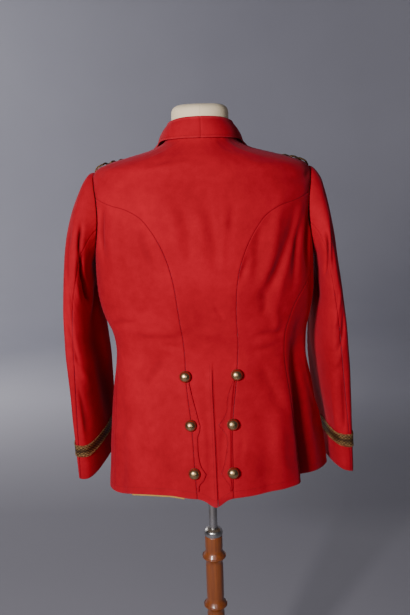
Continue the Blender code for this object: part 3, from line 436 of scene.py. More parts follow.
# %% Gold lace and thread
def make_lace(name, bright, tarnish):
    lace = Finish(name, Metallic=0.62, Specular_IOR_Level=0.4)
    uv = lace.uv()
    place = lace.place()
    rise, fall = (lace.wave(lace.turned(uv, slant), 62.0) for slant in (45.0, -45.0))
    lozenge = lace.math("MULTIPLY", rise, fall)
    rib = lace.wave(uv, 480.0, bands="X")
    worn = lace.noise(place, 90.0, 5.0, 0.65)
    height = lace.weighted((lozenge, 0.8), (rib, 0.25))
    shade = lace.weighted((height, 0.6), (worn, 0.55))
    colour = lace.blend(lace.span(shade, 0.34, 0.74), tarnish, bright)
    colour = lace.where("hollow", (0.2, 0.9), 0.8, colour, tarnish)
    rough = lace.span(worn, 0.3, 0.8, 0.38, 0.66)
    return lace.done(Base_Color=colour, Roughness=rough, Normal=lace.bump(height, 0.0005, 0.8))


gold_lace = make_lace("gold_lace", (0.46, 0.265, 0.095), (0.040, 0.016, 0.009))
gilt = Finish("gold_thread", Metallic=0.7, Roughness=0.42)
gilt_worn = gilt.noise(gilt.place(), 220.0, 4.0, 0.6)
gilt_colour = gilt.blend(gilt.span(gilt_worn, 0.35, 0.65), (0.10, 0.050, 0.022), (0.58, 0.36, 0.14))
gold_thread = gilt.done(Base_Color=gilt_colour)
print("made", gold_lace.name, gold_thread.name)


# %% Varnished wood
def make_varnish(name, deep, light):
    wood = Finish(name, Coat_Weight=0.55, Coat_Roughness=0.12, Roughness=0.42)
    place = wood.place()
    wander = wood.noise(wood.stretched(place, (10.0, 10.0, 1.5)), 1.0, 3.0)
    grain = wood.noise(wood.stretched(place, (240.0, 240.0, 9.0)), 1.0, 6.0, 0.7)
    bands = wood.weighted((grain, 0.7), (wander, 0.4))
    colour = wood.blend(wood.span(bands, 0.35, 0.78), deep, light)
    colour = wood.where("hollow", (0.1, 0.9), 0.75, colour, darker(deep, 0.30))
    return wood.done(Base_Color=colour, Normal=wood.bump(grain, 0.0002, 0.25))


varnish = make_varnish("varnished_wood", (0.125, 0.026, 0.005), (0.345, 0.094, 0.018))
print("materials:", len(bpy.data.materials))

# %% [markdown]
# ## The body of the jacket as one surface
#
# A jacket is flat cloth sewn into a round shape. It helps to describe that round shape once, as a
# function: give it how far round the body a place lies (*turn*, from the centre back) and how
# high, and it returns a point. Level sections are rounded squares whose width and depth come
# from a table. The large folds of the skirts are added as soft ridges and valleys. These are the
# same numbers as in the CAD, so the cloth made here sits where the solids are.

# %% Sections of the body
TORSO = Table(
    ("height", "half_width", "back", "front", "drift", "square"),
    (
        (0.680, 0.2190, 0.146, 0.166, -0.009, 2.15),
        (0.780, 0.2110, 0.136, 0.157, -0.008, 2.20),
        (0.870, 0.2040, 0.121, 0.146, -0.007, 2.25),
        (0.925, 0.2000, 0.107, 0.138, -0.006, 2.30),
        (0.965, 0.1960, 0.099, 0.133, -0.006, 2.30),
        (1.000, 0.1940, 0.096, 0.131, -0.007, 2.30),
        (1.040, 0.1985, 0.100, 0.133, -0.006, 2.35),
        (1.072, 0.2090, 0.105, 0.137, -0.003, 2.40),
        (1.110, 0.2165, 0.111, 0.143, -0.001, 2.45),
        (1.160, 0.2180, 0.119, 0.149, 0.000, 2.50),
        (1.210, 0.2175, 0.124, 0.151, 0.000, 2.50),
        (1.260, 0.2175, 0.124, 0.146, 0.000, 2.50),
        (1.310, 0.2170, 0.118, 0.130, 0.000, 2.45),
        (1.340, 0.2160, 0.109, 0.114, 0.000, 2.35),
        (1.356, 0.2120, 0.102, 0.103, 0.000, 2.25),
        (1.368, 0.2000, 0.097, 0.090, 0.000, 2.15),
        (1.378, 0.1730, 0.092, 0.079, 0.000, 2.05),
        (1.387, 0.1400, 0.087, 0.071, 0.000, 2.00),
        (1.397, 0.1030, 0.079, 0.064, 0.000, 2.00),
        (1.409, 0.0760, 0.070, 0.060, 0.000, 2.00),
        (1.430, 0.0620, 0.062, 0.056, 0.000, 2.00),
    ),
)

# Where round the body at the foot and at the head, how wide, from where, full at, and how far out
FOLDS = (
    ("right side valley", -66.0, -58.0, 9.5, 1.140, 0.760, -0.034),
    ("right side flare", -103.0, -103.0, 15.0, 1.060, 0.730, 0.032),
    ("left side valley", 62.0, 62.0, 8.0, 1.020, 0.740, -0.005),
    ("left side flare", 92.0, 92.0, 16.0, 1.000, 0.800, 0.009),
    ("left plait", 24.0, 24.0, 6.0, 0.960, 0.760, -0.004),
    ("right plait", -29.0, -29.0, 6.0, 0.960, 0.760, -0.004),
    ("left front valley", 138.0, 138.0, 9.0, 0.980, 0.740, -0.009),
    ("right front valley", -134.0, -134.0, 9.0, 0.980, 0.740, -0.010),
)
STEP = 0.0001


def centred(turn):
    """A turn in degrees, from -180 to 180."""
    return np.degrees((np.asarray(turn, float) + math.pi) % (2 * math.pi) - math.pi)


def fold_reach(turn, height):
    """How far the large folds of the skirts stand out at a place on the body."""
    reach = np.zeros(np.broadcast(turn, height).shape)
    degrees = centred(turn)
    for _name, foot, head, width, start, full, size in FOLDS:
        middle = head + (foot - head) * np.clip((start - height) / (start - full), 0.0, 1.0)
        reach = reach + size * bell(degrees - middle, width) * ramp(start, full, height)
    return reach


def body_point(turn, height):
    """A point of the jacket's outer face; turn runs from the centre back to the wearer's left."""
    turn, height = np.broadcast_arrays(np.asarray(turn, float), np.asarray(height, float))
    sine = np.sin(turn)
    cosine = np.cos(turn)
    square = TORSO("square", height)
    reach = (np.abs(sine) ** square + np.abs(cosine) ** square) ** (-1.0 / square)
    depth = np.where(cosine > 0, TORSO("back", height), TORSO("front", height))
    x = TORSO("half_width", height) * reach * sine
    y = depth * reach * cosine
    stretch = 1.0 + fold_reach(turn, height) / np.hypot(x, y)
    return np.stack([x * stretch + TORSO("drift", height), y * stretch, height], axis=-1)


def body_normal(turn, height):
    """The outward direction of the body's face."""
    turn = np.asarray(turn, float)
    height = np.asarray(height, float)
    along = body_point(turn + STEP, height) - body_point(turn - STEP, height)
    upward = body_point(turn, height + STEP) - body_point(turn, height - STEP)
    return unit(np.cross(upward, along))


def back_turn(x, height):
    """How far round the body a place x metres from the centre back lies."""
    share = np.abs(x) / TORSO("half_width", height)
    square = TORSO("square", height)
    return np.sign(x) * np.arctan2(share, (1.0 - share**square) ** (1.0 / square))


def front_turn(x, height):
    """The same from the centre front, for the left front."""
    return math.pi - back_turn(x, height)


whole_turn = np.linspace(-math.pi, math.pi, 721)
for label, height in (("chest", 1.21), ("waist", 1.00)):
    print("round the %s %.3f m" % (label, run_along(body_point(whole_turn, height))[-1]))

# %% [markdown]
# ## Creases, placed one by one
#
# Random noise never looks like a jacket, because real creases have causes: the shoulder blades
# pull flutes down the back, the waist is pinched in and wrinkles beside it, the armhole strains.
# So each crease here is a short line on the body with its own width and size, read from the
# photograph where it shows the back, and made up in the same manner, never mirrored, on the
# sides and front. A plus lifts a soft ridge, a minus presses a hollow. Under them lies only a
# very faint unevenness, a sum of a few slow waves.

# %% Creases of the body
ROUND = 0.19
CREASE_DEPTH = 2.0
CREASE_BOW = 0.06
CREASES = (
    # turn and height where it starts, the same where it ends, width and size in millimetres
    ("left side hollow", 36.5, 1.282, 20.5, 1.160, 15.0, -2.2),
    ("left side ridge", 32.5, 1.192, 18.5, 1.092, 14.0, 2.0),
    ("left soft hollow", 33.5, 1.108, 22.0, 1.068, 16.0, -1.3),
    ("left armhole hollow", 56.5, 1.300, 59.0, 1.205, 11.0, -3.2),
    ("left armhole ridge", 49.0, 1.285, 47.0, 1.190, 12.0, 1.8),
    ("left skirt diagonal", 25.5, 1.004, 42.5, 0.926, 16.0, -2.2),
    ("left waist wrinkle", 27.0, 1.030, 15.0, 1.014, 5.5, -1.2),
    ("left waist wrinkle under", 29.0, 1.017, 17.0, 1.000, 6.0, 0.9),
    ("left waist band", 44.0, 1.054, 15.0, 1.056, 8.0, 1.5),
    ("left waist pinch", 52.0, 1.036, 24.0, 1.038, 11.0, -1.3),
    ("left skirt hollow", 41.5, 0.880, 43.5, 0.750, 19.0, -1.5),
    ("left skirt ridge", 33.0, 0.900, 31.0, 0.750, 15.0, 1.7),
    ("left side wrinkle", 66.0, 1.052, 38.0, 1.070, 7.0, -1.6),
    ("right hollow long", -46.5, 1.285, -28.0, 1.105, 12.0, -3.0),
    ("right hollow short", -55.5, 1.265, -44.5, 1.140, 9.0, -2.4),
    ("right armhole hollow", -63.5, 1.290, -63.0, 1.175, 10.0, -3.4),
    ("right inner hollow", -30.0, 1.252, -22.5, 1.154, 9.0, -1.6),
    ("right seam hollow", -20.5, 1.200, -18.5, 1.156, 6.0, -1.1),
    ("right low hollow", -28.5, 1.130, -29.0, 1.080, 8.0, -1.6),
    ("right ridge long", -42.0, 1.300, -24.0, 1.130, 11.0, 2.0),
    ("right ridge short", -51.0, 1.276, -39.0, 1.108, 9.0, 1.8),
    ("right low ridge", -35.5, 1.100, -37.0, 1.044, 9.0, 1.4),
    ("right waist pinch", -45.0, 1.046, -22.0, 1.030, 8.0, -1.5),
    ("right waist wrinkle", -40.0, 1.022, -20.0, 1.004, 6.0, -1.1),
    ("right skirt hollow", -31.0, 0.980, -42.0, 0.880, 13.0, -1.8),
    ("right skirt ridge", -38.0, 0.880, -40.0, 0.760, 16.0, 2.0),
    ("back hollow left", 8.5, 1.305, 9.5, 1.190, 9.0, -1.3),
    ("back hollow middle", -4.0, 1.300, -3.0, 1.180, 8.0, -1.1),
    ("back hollow right", -13.5, 1.300, -13.0, 1.190, 8.0, -1.2),
    ("back ridge left", 14.5, 1.300, 15.0, 1.210, 9.0, 1.1),
    ("back ridge middle", 2.5, 1.305, 3.0, 1.190, 9.0, 1.1),
    ("back ridge right", -9.5, 1.300, -9.0, 1.190, 8.0, 1.0),
    ("small of the back", 6.0, 1.085, -9.0, 1.068, 8.0, -1.0),
    ("small crease", -4.6, 1.100, -7.8, 1.078, 3.5, -1.1),
    ("waist wave", 10.0, 1.046, -12.0, 1.040, 9.0, 0.9),
    ("shoulder wave left", 34.0, 1.362, 2.0, 1.370, 8.0, 1.1),
    ("shoulder wave right", -4.0, 1.352, -40.0, 1.362, 9.0, 1.2),
    ("blade wave", 22.0, 1.332, -20.0, 1.336, 10.0, -0.9),
    ("left shoulder drag", 74.0, 1.352, 40.0, 1.340, 9.0, -1.6),
    ("right shoulder drag", -72.0, 1.350, -44.0, 1.338, 9.0, -1.5),
    ("left button dimple", 15.0, 0.998, 14.3, 0.978, 6.0, -0.6),
    ("right button dimple", -14.0, 1.000, -14.0, 0.978, 6.0, -0.6),
    ("right button hollow", -14.5, 0.846, -14.0, 0.796, 6.0, -0.6),
    ("left tail wave", 10.0, 0.900, 5.0, 0.760, 8.0, 1.1),
    ("right tail wave", -7.0, 0.905, -6.0, 0.770, 7.0, -0.9),
    ("right front ridge", -70.0, 1.010, -98.0, 0.850, 9.0, 2.0),
    ("right front hollow", -78.0, 0.960, -112.0, 0.800, 12.0, -2.4),
    ("left flank hollow", 82.0, 0.990, 96.0, 0.860, 13.0, -2.4),
    ("left front strain", 168.0, 1.004, 128.0, 1.040, 8.0, 1.8),
    ("left front hollow", 166.0, 0.985, 120.0, 1.000, 9.0, -2.0),
    ("left front drag", 150.0, 1.120, 108.0, 1.185, 12.0, -2.4),
    ("left front drop", 132.0, 0.930, 128.0, 0.760, 13.0, 2.2),
    ("right front strain", -160.0, 1.012, -126.0, 1.052, 9.0, 1.7),
    ("right front pinch", -156.0, 0.992, -118.0, 1.018, 8.0, -1.9),
    ("right front drag", -142.0, 1.150, -112.0, 1.230, 11.0, -2.2),
    ("right front drop", -150.0, 0.940, -146.0, 0.780, 12.0, 1.9),
)
# Slow waves: how many round the body, how many in a metre of height, a start and a size in mm
WAVES = (
    (5.0, 3.1, 0.4, 0.35),
    (8.0, -4.3, 1.9, 0.28),
    (13.0, 6.7, 2.7, 0.20),
    (17.0, -9.1, 0.9, 0.16),
    (29.0, 13.0, 5.1, 0.10),
    (37.0, -17.0, 3.3, 0.08),
)


def line_lift(lines, across, upward, round_size):
    """The sum of all creases at places given in metres across and up."""
    lift = np.zeros(np.broadcast(across, upward).shape)
    for _name, a0, b0, a1, b1, width, size in lines:
        start = np.array([math.radians(a0) * round_size, b0])
        run = np.array([math.radians(a1) * round_size, b1]) - start
        length = np.hypot(*run)
        share = ((across - start[0]) * run[0] + (upward - start[1]) * run[1]) / length**2
        aside = ((across - start[0]) * -run[1] + (upward - start[1]) * run[0]) / length
        bow = aside - CREASE_BOW * length * np.sin(math.pi * np.clip(share, 0.0, 1.0) + a0)
        taper = ramp(-0.20, 0.35, share) * ramp(1.20, 0.65, share)
        lift = lift + CREASE_DEPTH * size * 0.001 * taper * bell(bow, width * 0.001)
    return lift


def body_lift(turn, height):
    """Every crease and the faint unevenness of the cloth on the body."""
    around = np.radians(centred(turn))
    lift = line_lift(CREASES, around * ROUND, height, ROUND)
    for count, rise, start, size in WAVES:
        lift = lift + size * 0.001 * np.sin(count * around + 2 * math.pi * rise * height + start)
    return lift


print("creases on the body:", len(CREASES))

# %% [markdown]
# ## Seams, edges and a shell of cloth
#
# A panel is a grid of points between its four edges. Three things turn it into cloth. It gets a
# back face two millimetres behind the front one. Its rim is rounded, as a folded edge is, by one
# more row of points between the two faces. And near a seam the face dips by half a millimetre,
# with small puckers along it, because the stitches pull it down. How near each point lies to a
# seam or a folded edge is kept on the mesh for the material.

# %% Edges of a grid
EDGE_CROWD = 0.72


def edge_distance(points):
    """How far each point of a grid lies from its nearest edge, and from each edge by itself."""
    across = np.linalg.norm(np.diff(points, axis=1), axis=-1)
    upward = np.linalg.norm(np.diff(points, axis=0), axis=-1)
    left = np.pad(np.cumsum(across, axis=1), ((0, 0), (1, 0)))
    low = np.pad(np.cumsum(upward, axis=0), ((1, 0), (0, 0)))
    return {"left": left, "right": left[:, -1:] - left, "low": low, "high": low[-1:] - low}


def crowded(count):
    """Shares from 0 to 1 that lie close together near both ends."""
    share = np.linspace(0.0, 1.0, count)
    return share - EDGE_CROWD * np.sin(2 * math.pi * share) / (2 * math.pi)


def crowd(places, count):
    """The same panel with other columns, close together near its two edges."""
    at = crowded(count) * (places.shape[1] - 1)
    before = np.minimum(at.astype(int), places.shape[1] - 2)
    part = (at - before)[None, :, None]
    return places[:, before] * (1.0 - part) + places[:, before + 1] * part


def draw_in(points, amount, sides):
    """Draws the named edges of a grid in by an amount."""
    drawn = points.copy()
    for side in sides:
        edge, inner = {
            "left": (np.s_[:, 0], np.s_[:, 1]),
            "right": (np.s_[:, -1], np.s_[:, -2]),
            "low": (np.s_[0], np.s_[1]),
            "high": (np.s_[-1], np.s_[-2]),
        }[side]
        drawn[edge] += unit(points[inner] - points[edge]) * amount
    return drawn


print("share of the first column's width:", round(crowded(72)[1] * 71, 2), "of the mean")

# %% Shell of cloth
CLOTH = 0.002
EDGE_ROUND = 0.26
outer_faces = {}


def shell(name, outer, normals, thickness, materials, uv, marks, closed=False, slit=None):
    """A closed wall of cloth: outer face, inner face, and a rounded rim between them."""
    outer_faces[name] = (outer, normals)
    rows, columns = outer.shape[:2]
    index = np.arange(rows * columns).reshape(rows, columns)
    other = index.copy()
    points = outer.reshape(-1, 3)
    directions = normals.reshape(-1, 3)
    flat = uv.reshape(-1, 2)
    marks = {label: np.broadcast_to(values, (rows, columns)).ravel() for label, values in marks.items()}
    if slit is not None:
        column, beside = slit
        ids = index[: len(beside), column]
        other[: len(beside), column] = rows * columns + np.arange(len(beside))
        points = np.concatenate([points, beside])
        directions = np.concatenate([directions, directions[ids]])
        flat = np.concatenate([flat, flat[ids]])
        marks = {label: np.concatenate([values, values[ids]]) for label, values in marks.items()}
    if closed:
        index = np.hstack([index, index[:, :1]])
        other = np.hstack([other, other[:, :1]])
    quads = np.stack([other[:-1, :-1], other[1:, :-1], index[1:, 1:], index[:-1, 1:]], axis=-1)
    quads = quads.reshape(-1, 4)
    corner = points[quads[:, 0]]
    facing = np.cross(points[quads[:, 1]] - corner, points[quads[:, 3]] - corner)
    if np.sum(facing * directions[quads[:, 0]]) < 0:
        quads = quads[:, ::-1]
    count = len(points)
    pairs = np.concatenate([quads[:, [k, (k + 1) % 4]] for k in range(4)])
    lone = ~np.isin(pairs[:, 0] * count + pairs[:, 1], pairs[:, 1] * count + pairs[:, 0])
    first, second = pairs[lone].T
    outward = np.zeros((count, 3))
    for ends in (first, second):
        np.add.at(outward, ends, unit(np.cross(points[second] - points[first], directions[ends])))
    rim = np.unique(pairs[lone])
    middle = np.zeros(count, int)
    middle[rim] = 2 * count + np.arange(len(rim))
    tips = points[rim] - directions[rim] * thickness / 2 + unit(outward[rim]) * thickness * EDGE_ROUND
    inner = points - directions * thickness
    upper = np.stack([second, first, middle[first], middle[second]], axis=-1)
    lower = np.stack([middle[second], middle[first], first + count, second + count], axis=-1)
    faces = np.concatenate([quads, upper, lower, quads[:, ::-1] + count])
    finish = np.zeros(len(faces), int)
    finish[-len(quads) :] = len(materials) - 1
    points = np.concatenate([points, inner, tips])
    flat = np.concatenate([flat, flat, flat[rim]])
    marks = {label: np.concatenate([values, values, values[rim]]) for label, values in marks.items()}
    return new_piece(name, points, faces, materials, finish_index=finish, uv=flat, marks=marks)


print("the cloth is", 1000 * CLOTH, "mm thick")

# %% Seams and folded edges
SEAM_HALF_GAP = -0.00006
SEAM_DIP = 0.00055
SEAM_ROLL = 0.0020
PUCKER = 0.00026
PUCKER_PITCH = 0.0135
ARMHOLE_SHADE = 0.20


def cloth_grid(points, normals, lift, sewn, folded=()):
    """Lifts a grid by its creases, dips it at sewn edges, and says where seams and edges are."""
    away = edge_distance(points)
    seam = np.zeros(lift.shape)
    dip = np.zeros(lift.shape)
    for side in sewn:
        near = away[side]
        run = away["low"] if side in ("left", "right") else away["left"]
        ripple = np.sin(2 * math.pi * run / PUCKER_PITCH + 2.0 * np.sin(run * 61.0))
        dip = dip - SEAM_DIP * bell(near, SEAM_ROLL)
        dip = dip + PUCKER * ripple * bell(near - 0.005, 0.0055)
        seam = np.maximum(seam, bell(near, 0.0013) * (1.0 if side in ("left", "right") else ARMHOLE_SHADE))
    edge = np.zeros(lift.shape)
    for side in folded:
        edge = np.maximum(edge, bell(away[side], 0.0030))
    hold = np.ones(lift.shape)
    for side in sewn:
        hold = hold * (1.0 - 0.65 * bell(away[side], 0.010))
    lifted = points + normals * (lift * hold + dip)[..., None]
    uv = np.stack([away["left"], away["low"]], axis=-1)
    drawn = draw_in(lifted, SEAM_HALF_GAP + CLOTH * EDGE_ROUND, tuple(sewn) + tuple(folded))
    return drawn, uv, {"seam": seam, "edge": edge}


print("puckers on a metre of seam:", round(1.0 / PUCKER_PITCH))

# %% [markdown]
# ## Where the panels end
#
# The cutting lines come next: the hem, the curved back seams that run from the armholes to the
# skirts, the side seams, the armholes, the shoulder seams and the front edges. Each is a short
# table of measured places with a smooth curve through it.

# %% Cutting lines
NECK_SEAM = 1.425
ARMHOLE_TOP = 1.360
ARMHOLE_FOOT = 1.195
ARMHOLE_BACK_SPAN = 26.0
ARMHOLE_FRONT_SPAN = 27.0
PRINCESS_ON_ARMHOLE = 26.0
VENT_TOP = 0.985
VENT_SHIFT = -0.0025
FRONT_LAP = 0.018
METRES_PER_TURN = 0.17

BACK_SEAM = (
    # height, and how far the left and the right seam lie from the centre back
    (0.700, 0.0385, 0.0335),
    (0.777, 0.0405, 0.0345),
    (0.871, 0.0435, 0.0375),
    (0.964, 0.0507, 0.0495),
    (1.023, 0.0530, 0.0530),
    (1.096, 0.0560, 0.0560),
    (1.150, 0.0610, 0.0610),
    (1.190, 0.0700, 0.0700),
    (1.222, 0.0820, 0.0820),
    (1.254, 0.1000, 0.1000),
    (1.277, 0.1190, 0.1190),
    (1.292, 0.1450, 0.1450),
    (1.300, 0.1750, 0.1750),
)
HEM_ROWS = (
    # turn and height, from the centre front over the right side and the back
    ((-180.0, 0.702), (-140.0, 0.704), (-105.0, 0.722), (-80.0, 0.727), (-60.0, 0.728), (-35.0, 0.728))
    + ((-12.0, 0.7245), (0.0, 0.7235), (12.0, 0.7250), (35.0, 0.7270), (50.0, 0.7190), (65.0, 0.7065))
    + ((85.0, 0.7015), (120.0, 0.7010), (180.0, 0.7020))
)
HEM = Table(("turn", "height"), HEM_ROWS)
HEM_CORNER_DROP = 0.0155
SIDE_SEAM = Table(
    ("height", "left", "right"),
    (
        (0.680, 74.0, 52.0),
        (0.780, 74.0, 52.0),
        (0.870, 73.0, 50.5),
        (0.940, 72.5, 48.0),
        (1.000, 73.0, 46.0),
        (1.060, 76.0, 46.0),
        (1.100, 79.5, 49.5),
        (1.130, 82.0, 57.0),
        (1.160, 85.5, 70.0),
        (1.195, 90.0, 90.0),
    ),
)
FRONT_EDGE = (
    # height, and distance from the centre front
    *((height, -FRONT_LAP) for height in (0.700, 0.800, 0.900, 1.000, 1.100)),
    (1.125, -0.004),
    (1.165, 0.009),
    (1.215, 0.020),
    (1.270, 0.031),
    (1.330, 0.043),
    (1.370, 0.050),
    (1.387, 0.0535),
    (1.399, 0.0555),
    (1.411, 0.0575),
)
SIDES = (("left", 1.0), ("right", -1.0))
print("rows that were measured:", len(BACK_SEAM) + len(HEM.key) + len(SIDE_SEAM.key) + len(FRONT_EDGE))


# %% Seams and edges as curves
def through(places, cells):
    """A smooth curve through places on the body, cut in cells of even length."""
    return smooth_line(places, cells, (METRES_PER_TURN, 1.0))


def hem_height(turn):
    """The lower edge of the jacket, with the vent's corner hanging lower."""
    degrees = centred(turn)
    return HEM("height", degrees) - HEM_CORNER_DROP * bell(degrees - 0.5, 5.0)


def armhole(side, angles):
    """Places on the armhole; 90 degrees is the shoulder, 0 the back, -90 the underarm."""
    angles = np.radians(np.asarray(angles, float))
    span = np.where(np.cos(angles) > 0, ARMHOLE_BACK_SPAN, ARMHOLE_FRONT_SPAN)
    turn = np.radians(90.0 - span * np.cos(angles)) * side
    middle = (ARMHOLE_TOP + ARMHOLE_FOOT) / 2
    half = (ARMHOLE_TOP - ARMHOLE_FOOT) / 2
    return np.stack([turn, middle + half * np.sin(angles)], axis=-1)


def back_seam(side, cells):
    """The curved back seam from the hem up to the armhole."""
    column = 1 if side > 0 else 2
    rows = [(back_turn(side * row[column], row[0]), row[0]) for row in BACK_SEAM[1:]]
    foot_turn = back_turn(side * BACK_SEAM[0][column], BACK_SEAM[0][0])
    foot = (foot_turn, hem_height(foot_turn))
    return through([foot] + rows + [armhole(side, PRINCESS_ON_ARMHOLE)], cells)


def side_seam(name, side, cells):
    """The side seam from the hem up to the underarm."""
    rows = [(math.radians(SIDE_SEAM(name, h)) * side, h) for h in SIDE_SEAM.key[1:]]
    foot_turn = math.radians(SIDE_SEAM(name, SIDE_SEAM.key[0])) * side
    return through([(foot_turn, hem_height(foot_turn))] + rows, cells)


def shoulder_seam(side, cells):
    """The ridge from the shoulder point to the neck."""
    heights = np.linspace(ARMHOLE_TOP, NECK_SEAM, 60)
    along = run_along(body_point(math.pi / 2, heights))
    even = np.linspace(0.0, along[-1], cells + 1)
    return np.stack([np.full(cells + 1, side * math.pi / 2), np.interp(even, along, heights)], axis=-1)


def front_edge(side, cells):
    """The front edge from the hem up the break of the lapel to the neck."""
    rows = [(side * front_turn(x, h), h) for h, x in FRONT_EDGE[1:]]
    foot_turn = side * front_turn(FRONT_EDGE[0][1], FRONT_EDGE[0][0])
    return through([(foot_turn, hem_height(foot_turn))] + rows + [(side * math.pi / 2, NECK_SEAM)], cells)


def patch(first, second, low, high):
    """Fills four edges, each a row of places: first and second run up, low and high run across."""
    upward = np.linspace(0.0, 1.0, len(first))[:, None, None]
    across = np.linspace(0.0, 1.0, len(low))[None, :, None]
    sides = (1 - across) * first[:, None, :] + across * second[:, None, :]
    ends = (1 - upward) * low[None, :, :] + upward * high[None, :, :]
    foot = (1 - across) * first[0] + across * second[0]
    head = (1 - across) * first[-1] + across * second[-1]
    return sides + ends - (1 - upward) * foot - upward * head


for name, side in SIDES:
    turn, height = back_seam(side, 60).T
    print("%s back seam %.3f m" % (name, run_along(body_point(turn, height))[-1]))

# %% [markdown]
# ## The back, with its vent
#
# The back is one piece from the shoulders to the hem, and below the waist it is slit. The left
# tail laps over the right one. A slit in a grid is simple: the points of the middle column are
# written twice, once for each side. The left ones are lifted by the thickness of the cloth, so a
# fold edge with its own small shadow runs down the middle, as in the photograph. A painted
# shadow along that edge darkens it further.

# %% Back
BACK_HALF = 52
BACK_CROWD = 0.25
SEAM_ROWS = 150
LAP_LIFT = 0.0021
LAP_WIDTH = 0.017
RIGHT_TAIL_DROP = 0.0002
RIGHT_TAIL_REACH = 0.0010
# Crease depth at which the painted shade in a crease is full
FULL_SHADE_CREASE = 0.0095
pieces = {}


def keep(made, slot="red_cloth", *nodes):
    """Keeps a finished piece: the body it rides on and the nodes it replaces; slot is not used."""
    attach(made, "root")
    if nodes:
        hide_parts(*nodes)
    pieces[made.name] = made
    print(made.name, "has", len(made.data.polygons), "faces")
    if made.name in outer_faces:
        outer = outer_faces[made.name][0]
        across = np.linalg.norm(np.diff(outer, axis=1), axis=-1).sum(axis=1).max()
        upward = np.linalg.norm(np.diff(outer, axis=0), axis=-1).sum(axis=0).max()
        cell = np.cross(outer[1:, :-1] - outer[:-1, :-1], outer[:-1, 1:] - outer[:-1, :-1])
        other = np.cross(outer[1:, :-1] - outer[1:, 1:], outer[:-1, 1:] - outer[1:, 1:])
        area = (np.linalg.norm(cell, axis=-1).sum() + np.linalg.norm(other, axis=-1).sum()) / 2
        print("  cut: width %.3f length %.3f area %.4f" % (across, upward, area))


def make_back():
    """The whole back, from the hem to the shoulders, with its vent below the waist."""
    edges = {}
    for name, side in SIDES:
        arm = armhole(side, np.linspace(PRINCESS_ON_ARMHOLE, 90.0, 25))
        edges[name] = np.concatenate([back_seam(side, SEAM_ROWS), arm[1:], shoulder_seam(side, 40)[1:]])
    across = np.linspace(-1.0, 1.0, 2 * BACK_HALF + 1)[None, :]
    across = BACK_CROWD * across + (1.0 - BACK_CROWD) * np.sin(across * math.pi / 2)
    share = np.abs(across)
    mix = (1.0 + across) / 2
    height = edges["left"][:, 1:] * mix + edges["right"][:, 1:] * (1.0 - mix)
    middle = back_turn(VENT_SHIFT, height[:, BACK_HALF]) * ramp(1.10, VENT_TOP, height[:, BACK_HALF])
    side_turn = np.where(across > 0, edges["left"][:, :1], edges["right"][:, :1])
    turn = middle[:, None] * (1 - share) + side_turn * share
    height[0] = hem_height(turn[0])
    slit_rows = int(np.searchsorted(edges["left"][:, 1], VENT_TOP))
    normals = body_normal(turn, height)
    points = body_point(turn, height)
    lift = body_lift(turn, height)
    from_vent = np.linalg.norm(points - points[:, BACK_HALF : BACK_HALF + 1], axis=-1)
    opened = ramp(VENT_TOP + 0.012, VENT_TOP - 0.030, height)
    lap = LAP_LIFT * opened * ramp(LAP_WIDTH, 0.002, from_vent) * (across >= 0)
    grid, uv, marks = cloth_grid(points, normals, lift + lap, ("left", "right", "high"), ("low",))
    # Painted shade in the back's creases
    marks["deep"] = np.clip(-lift / FULL_SHADE_CREASE, 0.0, 1.0)
    # Painted shadow along the left tail's lap edge, carried by the seam mark
    marks["seam"] = np.maximum(marks["seam"], 0.5 * bell(from_vent, 0.0014) * (across >= 0) * opened)
    vent = np.s_[:slit_rows, BACK_HALF]
    beside = points[vent] + normals[vent] * (lift[vent] - RIGHT_TAIL_DROP)[:, None]
    step = unit(grid[:slit_rows, BACK_HALF + 1] - grid[vent]) * RIGHT_TAIL_REACH
    slit = (BACK_HALF, beside + step * opened[vent][:, None])
    made = shell("back_cloth", grid, normals, CLOTH, [red_wool, yellow_twill], uv, marks, slit=slit)
    outer_faces["left_tail"] = (grid[:slit_rows, BACK_HALF:], normals[:slit_rows, BACK_HALF:])
    keep(made, "red_cloth", "jacket_back")


make_back()

# %% [markdown]
# ## Side bodies and fronts
#
# Beside the back come the side bodies, between the curved seams and the side seams, and then the
# two fronts, the left one lapped over the right. The same patch function fills their four edges.


# %% Side bodies
FOLD_SHADE = 0.28
PANEL_COLUMNS = 72


def body_panel(name, node, places, sewn, folded, lift=0.0):
    """A panel of wool cut from the body's surface."""
    turn, height = places[..., 0], places[..., 1]
    normals = body_normal(turn, height)
    creases = body_lift(turn, height)
    grid, uv, marks = cloth_grid(body_point(turn, height), normals, creases + lift, sewn, folded)
    # Painted shade: creases, and the valleys of the large folds at a share of FOLD_SHADE
    hollow = creases + FOLD_SHADE * np.minimum(fold_reach(turn, height), 0.0)
    marks["deep"] = np.clip(-hollow / FULL_SHADE_CREASE, 0.0, 1.0)
    made = shell(name, grid, normals, CLOTH, [red_wool, yellow_twill], uv, marks)
    keep(made, "red_cloth", node)


for name, side in SIDES:
    first = back_seam(side, SEAM_ROWS)
    second = side_seam(name, side, SEAM_ROWS)
    low_turn = np.linspace(first[0, 0], second[0, 0], 57)
    low = np.stack([low_turn, hem_height(low_turn)], axis=-1)
    high = armhole(side, np.linspace(PRINCESS_ON_ARMHOLE, -90.0, 57))
    places = crowd(patch(first, second, low, high), PANEL_COLUMNS)
    body_panel(f"side_cloth_{name}", f"jacket_side_{name}", places, ("left", "right", "high"), ("low",))

# %% Fronts
UNDER_LAP_DEPTH = 0.0034


def front_sink(turn, height, name):
    """How deep the right front lies under the left one, below the lapels."""
    if name == "left":
        return np.zeros(np.shape(turn))
    share = ramp(157.0, 169.0, np.degrees(np.abs(turn)))
    return -UNDER_LAP_DEPTH * share * ramp(1.220, 1.150, height)


